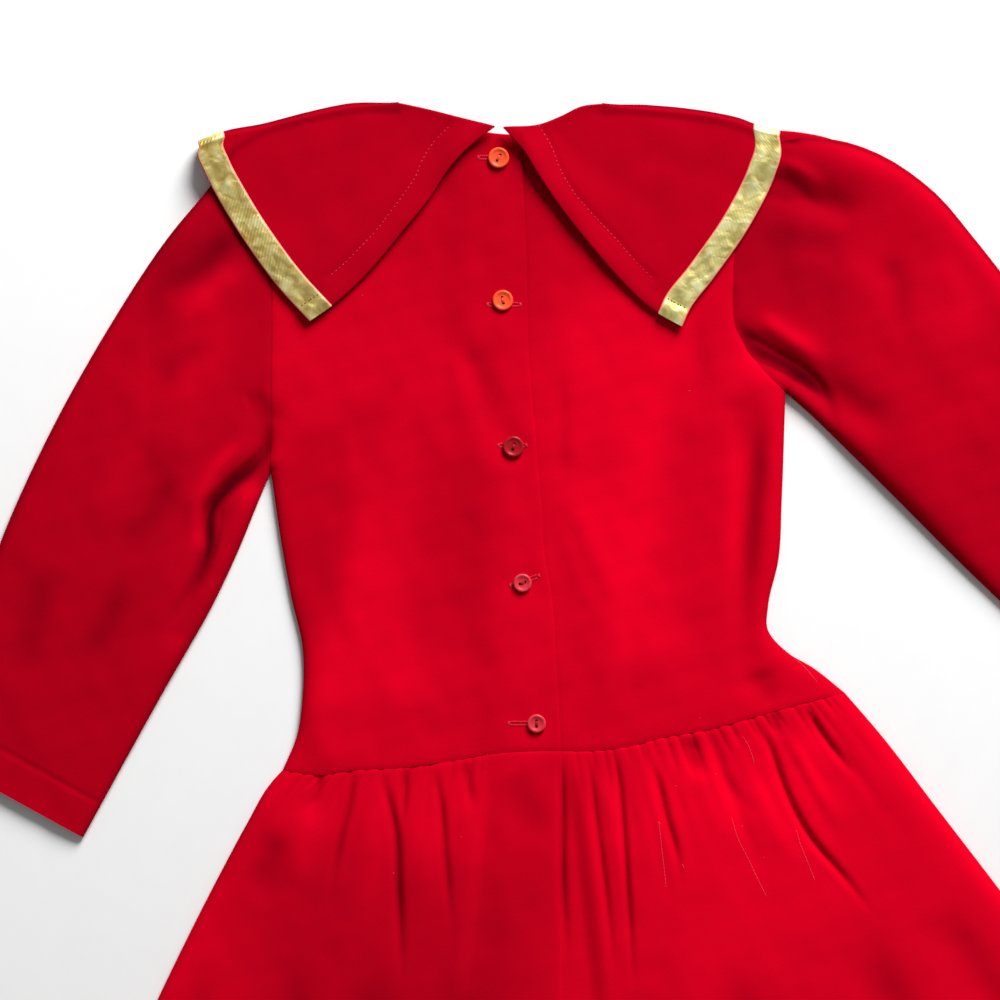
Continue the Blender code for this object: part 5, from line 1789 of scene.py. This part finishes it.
def drilled_mesh(name, button, material):
    """A button with its two holes cut through."""
    blank = bpy.data.objects.new(name + "_blank", turned_mesh(name, button, material))
    bpy.context.scene.collection.objects.link(blank)
    drills = []
    for place in (-button.hole_gap / 2, button.hole_gap / 2):
        bpy.ops.mesh.primitive_cylinder_add(vertices=24, radius=BUTTON_HOLE * MM, depth=8 * MM,
                                            location=(place * MM, 0, 0))
        drill = bpy.context.object
        cut = blank.modifiers.new("hole", "BOOLEAN")
        cut.operation = "DIFFERENCE"
        cut.object = drill
        drills.append(drill)
    bpy.context.view_layer.update()
    turned = bpy.data.meshes.new_from_object(blank.evaluated_get(bpy.context.evaluated_depsgraph_get()))
    for thing in drills + [blank]:
        bpy.data.objects.remove(thing)
    turned.shade_smooth()
    turned.set_sharp_from_angle(angle=math.radians(50))
    return turned


def add_button(number, button, material):
    """One button, turned and drilled, on the highest cloth under it."""
    name = "button_" + str(number) + "_turned"
    mesh = drilled_mesh(name, button, material)
    around = np.array([button.x, button.y]) + button.across * SAMPLE_REACH * circle(SAMPLE_RING)
    seat = max(surface_at((left_bodice,), x, y) for x, y in around) + SEAT_ROOM
    place = world((button.x, button.y, seat))
    piece = add_piece(name, mesh, place, math.radians(button.turn))
    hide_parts("button_" + str(number))
    print(name, "sits at", round(seat, 1), "mm")
    return seat


bpy.context.view_layer.update()
resins = (coral, coral, deep_red, dark_red, dark_red)
seats = [add_button(number, button, resin)
         for number, (button, resin) in enumerate(zip(BUTTONS, resins), start=1)]

# %% [markdown]
# ## Sewing
#
# Every stitch is a short piece of twisted thread that dips into the cloth at both ends. Thousands are
# not needed: only the tacking on the collar, the worked buttonholes and the thread in the buttons show.
# They are made as many small tapered tubes joined in one mesh, each a little different in length,
# angle and height, because hand and machine stitches both vary.

# %% Sewing thread: spun polyester, twisted, a little lighter than the cloth
THREAD_TWIST = 0.6


def spun_thread(name, colour, shade):
    """Twisted thread, matt with a faint sheen."""
    material, shader = new_material(name, Roughness=0.62, Specular_IOR_Level=0.15, Sheen_Weight=0.3,
                                    Sheen_Tint=linear(colour))
    place = add_node(material, "TexCoord").outputs["Object"]
    twist = add_node(material, "TexWave", {"bands_direction": "DIAGONAL"}, Vector=place,
                     Scale=waves_every(THREAD_TWIST), Distortion=1.0)
    mix = add_node(material, "Mix", {"data_type": "RGBA"}, in0=twist.outputs["Fac"],
                   in6=linear(shade), in7=linear(colour))
    link(material, mix.outputs[2], shader.inputs["Base Color"])
    return material


red_thread = spun_thread("spun_red_thread", "#b81426", "#8c0c18")
pale_thread = spun_thread("spun_coral_thread", "#f0604e", "#c83a34")
rose_thread = spun_thread("spun_rose_thread", "#e2465a", "#c42c40")
hole_thread = spun_thread("spun_buttonhole_thread", "#d62c40", "#b41a2c")
print("thread twist every", THREAD_TWIST, "mm")

# %% Stitches
THREAD_SIDES = 6

# Rings of a stitch: share of its length, thickness and lift, both as shares of the thread's radius
STITCH_RINGS = ((0.0, 0.45, -1.0), (0.12, 0.9, -0.25), (0.35, 1.0, 0.7),
                (0.65, 1.0, 0.7), (0.88, 0.9, -0.25), (1.0, 0.45, -1.0))


def add_stitches(name, strokes, radius, material):
    """Many short threads in one mesh, each from one point to another, low at both ends."""
    points = []
    ring = circle(THREAD_SIDES)
    block = len(STITCH_RINGS) * THREAD_SIDES
    for start, end in strokes:
        run = end - start
        length = np.linalg.norm(run)
        side = np.cross(run / length, (0, 0, 1))
        side /= np.linalg.norm(side)
        up = np.cross(side, run / length)
        for share, thick, lift in STITCH_RINGS:
            middle = start + run * share + np.array((0, 0, lift * radius))
            around = ring[:, :1] * side + ring[:, 1:] * up
            points.append(middle + radius * thick * around)
    points = np.concatenate(points)
    tubes = []
    caps = []
    for first in range(0, len(points), block):
        tubes += grid_faces(len(STITCH_RINGS), THREAD_SIDES, first, round_it=True).tolist()
        caps.append(tuple(range(first, first + THREAD_SIDES)))
        caps.append(tuple(range(first + block - 1, first + block - 1 - THREAD_SIDES, -1)))
    mesh = bpy.data.meshes.new(name)
    mesh.from_pydata(world(points).tolist(), [], tubes + caps)
    mesh.materials.append(material)
    mesh.shade_smooth()
    print(name, "has", len(strokes), "stitches")
    return add_piece(name, mesh)


def on_surface(pieces, x, y, lift=0.0):
    """A point on the highest cloth at a place, or a lift above it."""
    return np.array((x, y, surface_at(pieces, x, y) + lift))


print("each stitch has", len(STITCH_RINGS), "rings of", THREAD_SIDES, "points")

# %% Tacking on the collar
TACK_PITCH = 2.8
TACK_LENGTH = 1.5
TACK_THREAD = 0.19


def tacking(places, piece, seed):
    """Strokes of a row of short stitches along a route, on a piece of cloth."""
    random = np.random.default_rng(seed)
    route = curve(places)
    length = np.linalg.norm(np.diff(route(np.linspace(0, 1, 100)), axis=0), axis=1).sum()
    strokes = []
    for step in range(int(length / TACK_PITCH)):
        share = (step + 0.5 + random.uniform(-0.12, 0.12)) * TACK_PITCH / length
        half = TACK_LENGTH * random.uniform(0.6, 1.1) / 2 / length
        ends = route(np.array([share - half, share + half]))
        strokes.append([on_surface((piece,), *end) for end in ends])
    return strokes


add_stitches("tacking_left", tacking(LEFT_TACKING, left_collar, 31), TACK_THREAD, rose_thread)
add_stitches("tacking_right", tacking(RIGHT_TACKING, right_collar, 32), TACK_THREAD, rose_thread)

# %% Worked buttonholes
Buttonhole = namedtuple("Buttonhole", "x y length turn")
BUTTONHOLES = table(Buttonhole,
    (-2.6, -16.2, 15.0, 0),
    (4.1, -101.5, 17.5, 0),
    (9.0, -183.0, 14.5, 0),
    (16.2, -261.5, 16.0, 19),
    (15.5, -344.2, 16.0, 0))
BAR_PITCH = 0.62
BAR_LENGTH = 1.25
SLIT = 0.35
HOLE_THREAD = 0.24

# Bars across each end: half their length, the first one's place past the slit, and the step between them
END_BAR_HALF = 1.5
END_BAR_START = 0.3
END_BAR_STEP = 0.4


def buttonhole_strokes(hole, piece, seed):
    """Strokes of close stitches on both sides of a slit, and a bar across each end."""
    random = np.random.default_rng(seed)
    turn = math.radians(hole.turn)
    along = np.array([math.cos(turn), math.sin(turn)])
    aside = np.array([-along[1], along[0]])
    middle = np.array([hole.x, hole.y])
    strokes = []
    for step in range(int(hole.length / BAR_PITCH)):
        at = middle + along * ((step + 0.5) * BAR_PITCH - hole.length / 2 + random.uniform(-0.08, 0.08))
        for side in (-1, 1):
            start = at + aside * side * SLIT
            end = at + aside * side * (SLIT + BAR_LENGTH * random.uniform(0.85, 1.12))
            strokes.append([on_surface((piece,), *start), on_surface((piece,), *end)])
    for end in (-1, 1):
        for step in range(3):
            at = middle + along * end * (hole.length / 2 + END_BAR_START + step * END_BAR_STEP)
            ends = (at - aside * END_BAR_HALF, at + aside * END_BAR_HALF)
            strokes.append([on_surface((piece,), *place) for place in ends])
    return strokes


worked = []
for number, hole in enumerate(BUTTONHOLES):
    worked += buttonhole_strokes(hole, left_bodice, 50 + number)
add_stitches("worked_buttonholes", worked, HOLE_THREAD, hole_thread)

# %% Thread through the buttons
BUTTON_THREAD = 0.27
STRAND_STEP = 0.42
STRAND_DROP = 0.6


def button_thread(button, seat):
    """Three strands side by side from hole to hole."""
    turn = math.radians(button.turn)
    along = np.array([math.cos(turn), math.sin(turn), 0])
    aside = np.array([-along[1], along[0], 0])
    middle = np.array([button.x, button.y, seat + BUTTON_DEPTH - STRAND_DROP])
    half = button.hole_gap / 2
    return [[middle + along * half * end + aside * step * STRAND_STEP for end in (-1, 1)]
            for step in (-1, 0, 1)]


def strands_of(first, last):
    """The strands of all buttons from the first to the last named."""
    sewn = list(zip(BUTTONS, seats))[first - 1:last]
    return [strand for button, seat in sewn for strand in button_thread(button, seat)]


add_stitches("coral_button_thread", strands_of(1, 2), BUTTON_THREAD, pale_thread)
add_stitches("red_button_thread", strands_of(3, 5), BUTTON_THREAD, red_thread)

# %% Thread that holds the ribbon's turned ends
END_PITCH = 2.1
END_THREAD = 0.27
end_thread = spun_thread("spun_brown_thread", "#8a6430", "#5a3c18")


def end_stitches(fold, ribbon, seed):
    """A short row of hand stitches across a ribbon, along the edge of its turned end."""
    random = np.random.default_rng(seed)
    start, end = fold[1], fold[-2]
    run = (end - start)[:2]
    length = np.linalg.norm(run)
    strokes = []
    for step in range(int(length / END_PITCH)):
        share = (step + random.uniform(0.1, 0.3)) * END_PITCH / length
        reach = END_PITCH * random.uniform(0.5, 0.75) / length
        places = [start[:2] + run * at + random.uniform(-0.25, 0.25, 2) for at in (share, share + reach)]
        strokes.append([on_surface((ribbon,), *place) for place in places])
    return strokes


bpy.context.view_layer.update()
held = end_stitches(left_fold, left_ribbon, 61) + end_stitches(right_fold, right_ribbon, 62)
add_stitches("ribbon_end_stitches", held, END_THREAD, end_thread)

# %% [markdown]
# ## Lint
#
# Dark pile picks up pale fluff. A few specks and long fibres lie on the skirt and beside the side seam.
# They are the same short tubes as the stitches, only paler and finer, laid where they fell.

# %% Cotton lint, pale pink because the red shines through it
lint = spun_thread("cotton_lint", "#ff5468", "#ee3a50")
Speck = namedtuple("Speck", "x y turn length")
SPECKS = table(Speck,
    (117.7, -341.0, 80, 0.9), (103.8, -380.5, 10, 1.2), (142.1, -403.7, 60, 0.9), (154.3, -421.7, 40, 0.7),
    (107.9, -426.9, -62, 3.4), (94.3, -401.9, -70, 1.0), (148.8, -366.3, -70, 2.6),
    (183.6, -433.8, -75, 2.4), (97.8, -438.5, -40, 0.9), (127.0, -373.5, 20, 0.8), (111.4, -151.4, 15, 1.6),
    (-78.0, -96.0, 30, 0.8), (-132.0, -64.0, 50, 0.9), (-60.0, -431.0, 70, 1.0), (-21.0, -410.0, 20, 0.8))
FIBRES = (
    ((136.1, -399.0), (139.7, -411.2), (145.3, -422.2), (150.8, -433.8), (156.0, -444.3)),
    ((173.4, -406.0), (175.4, -413.3), (179.5, -423.4), (183.6, -433.8)),
    ((142.7, -352.1), (145.8, -357.2), (148.8, -365.4)),
    ((93.7, -401.1), (96.8, -428.6), (97.8, -437.8)),
    ((174.0, -307.4), (180.4, -313.6), (185.6, -320.2)),
)
FIBRE_PITCH = 2.0
LINT_THREAD = 0.1
SPECK_LIFT = 0.1
FIBRE_LIFT = 0.08

# Share of its length by which each stretch of a fibre runs on into the next, so that none shows an end
RUN_ON = 0.12


def lint_strokes(pieces):
    """Strokes of every speck and fibre on the pieces below them."""
    strokes = []
    for speck in SPECKS:
        turn = math.radians(speck.turn)
        reach = np.array([math.cos(turn), math.sin(turn)]) * speck.length / 2
        middle = np.array([speck.x, speck.y])
        strokes.append([on_surface(pieces, *(middle + reach * side), SPECK_LIFT) for side in (-1, 1)])
    for route in FIBRES:
        line = curve(route)
        length = np.linalg.norm(np.diff(np.array(route), axis=0), axis=1).sum()
        stops = np.linspace(0, 1, max(3, int(length / FIBRE_PITCH)))
        places = line(stops)
        ease = (places[1:] - places[:-1]) * RUN_ON
        strokes += [[on_surface(pieces, *place, FIBRE_LIFT) for place in ends]
                    for ends in zip(places[:-1] - ease, places[1:] + ease)]
    return strokes


upper_cloths = (left_bodice, right_bodice, left_skirt, right_skirt, left_sleeve, right_sleeve,
                left_collar, right_collar)
add_stitches("lint", lint_strokes(upper_cloths), LINT_THREAD, lint)
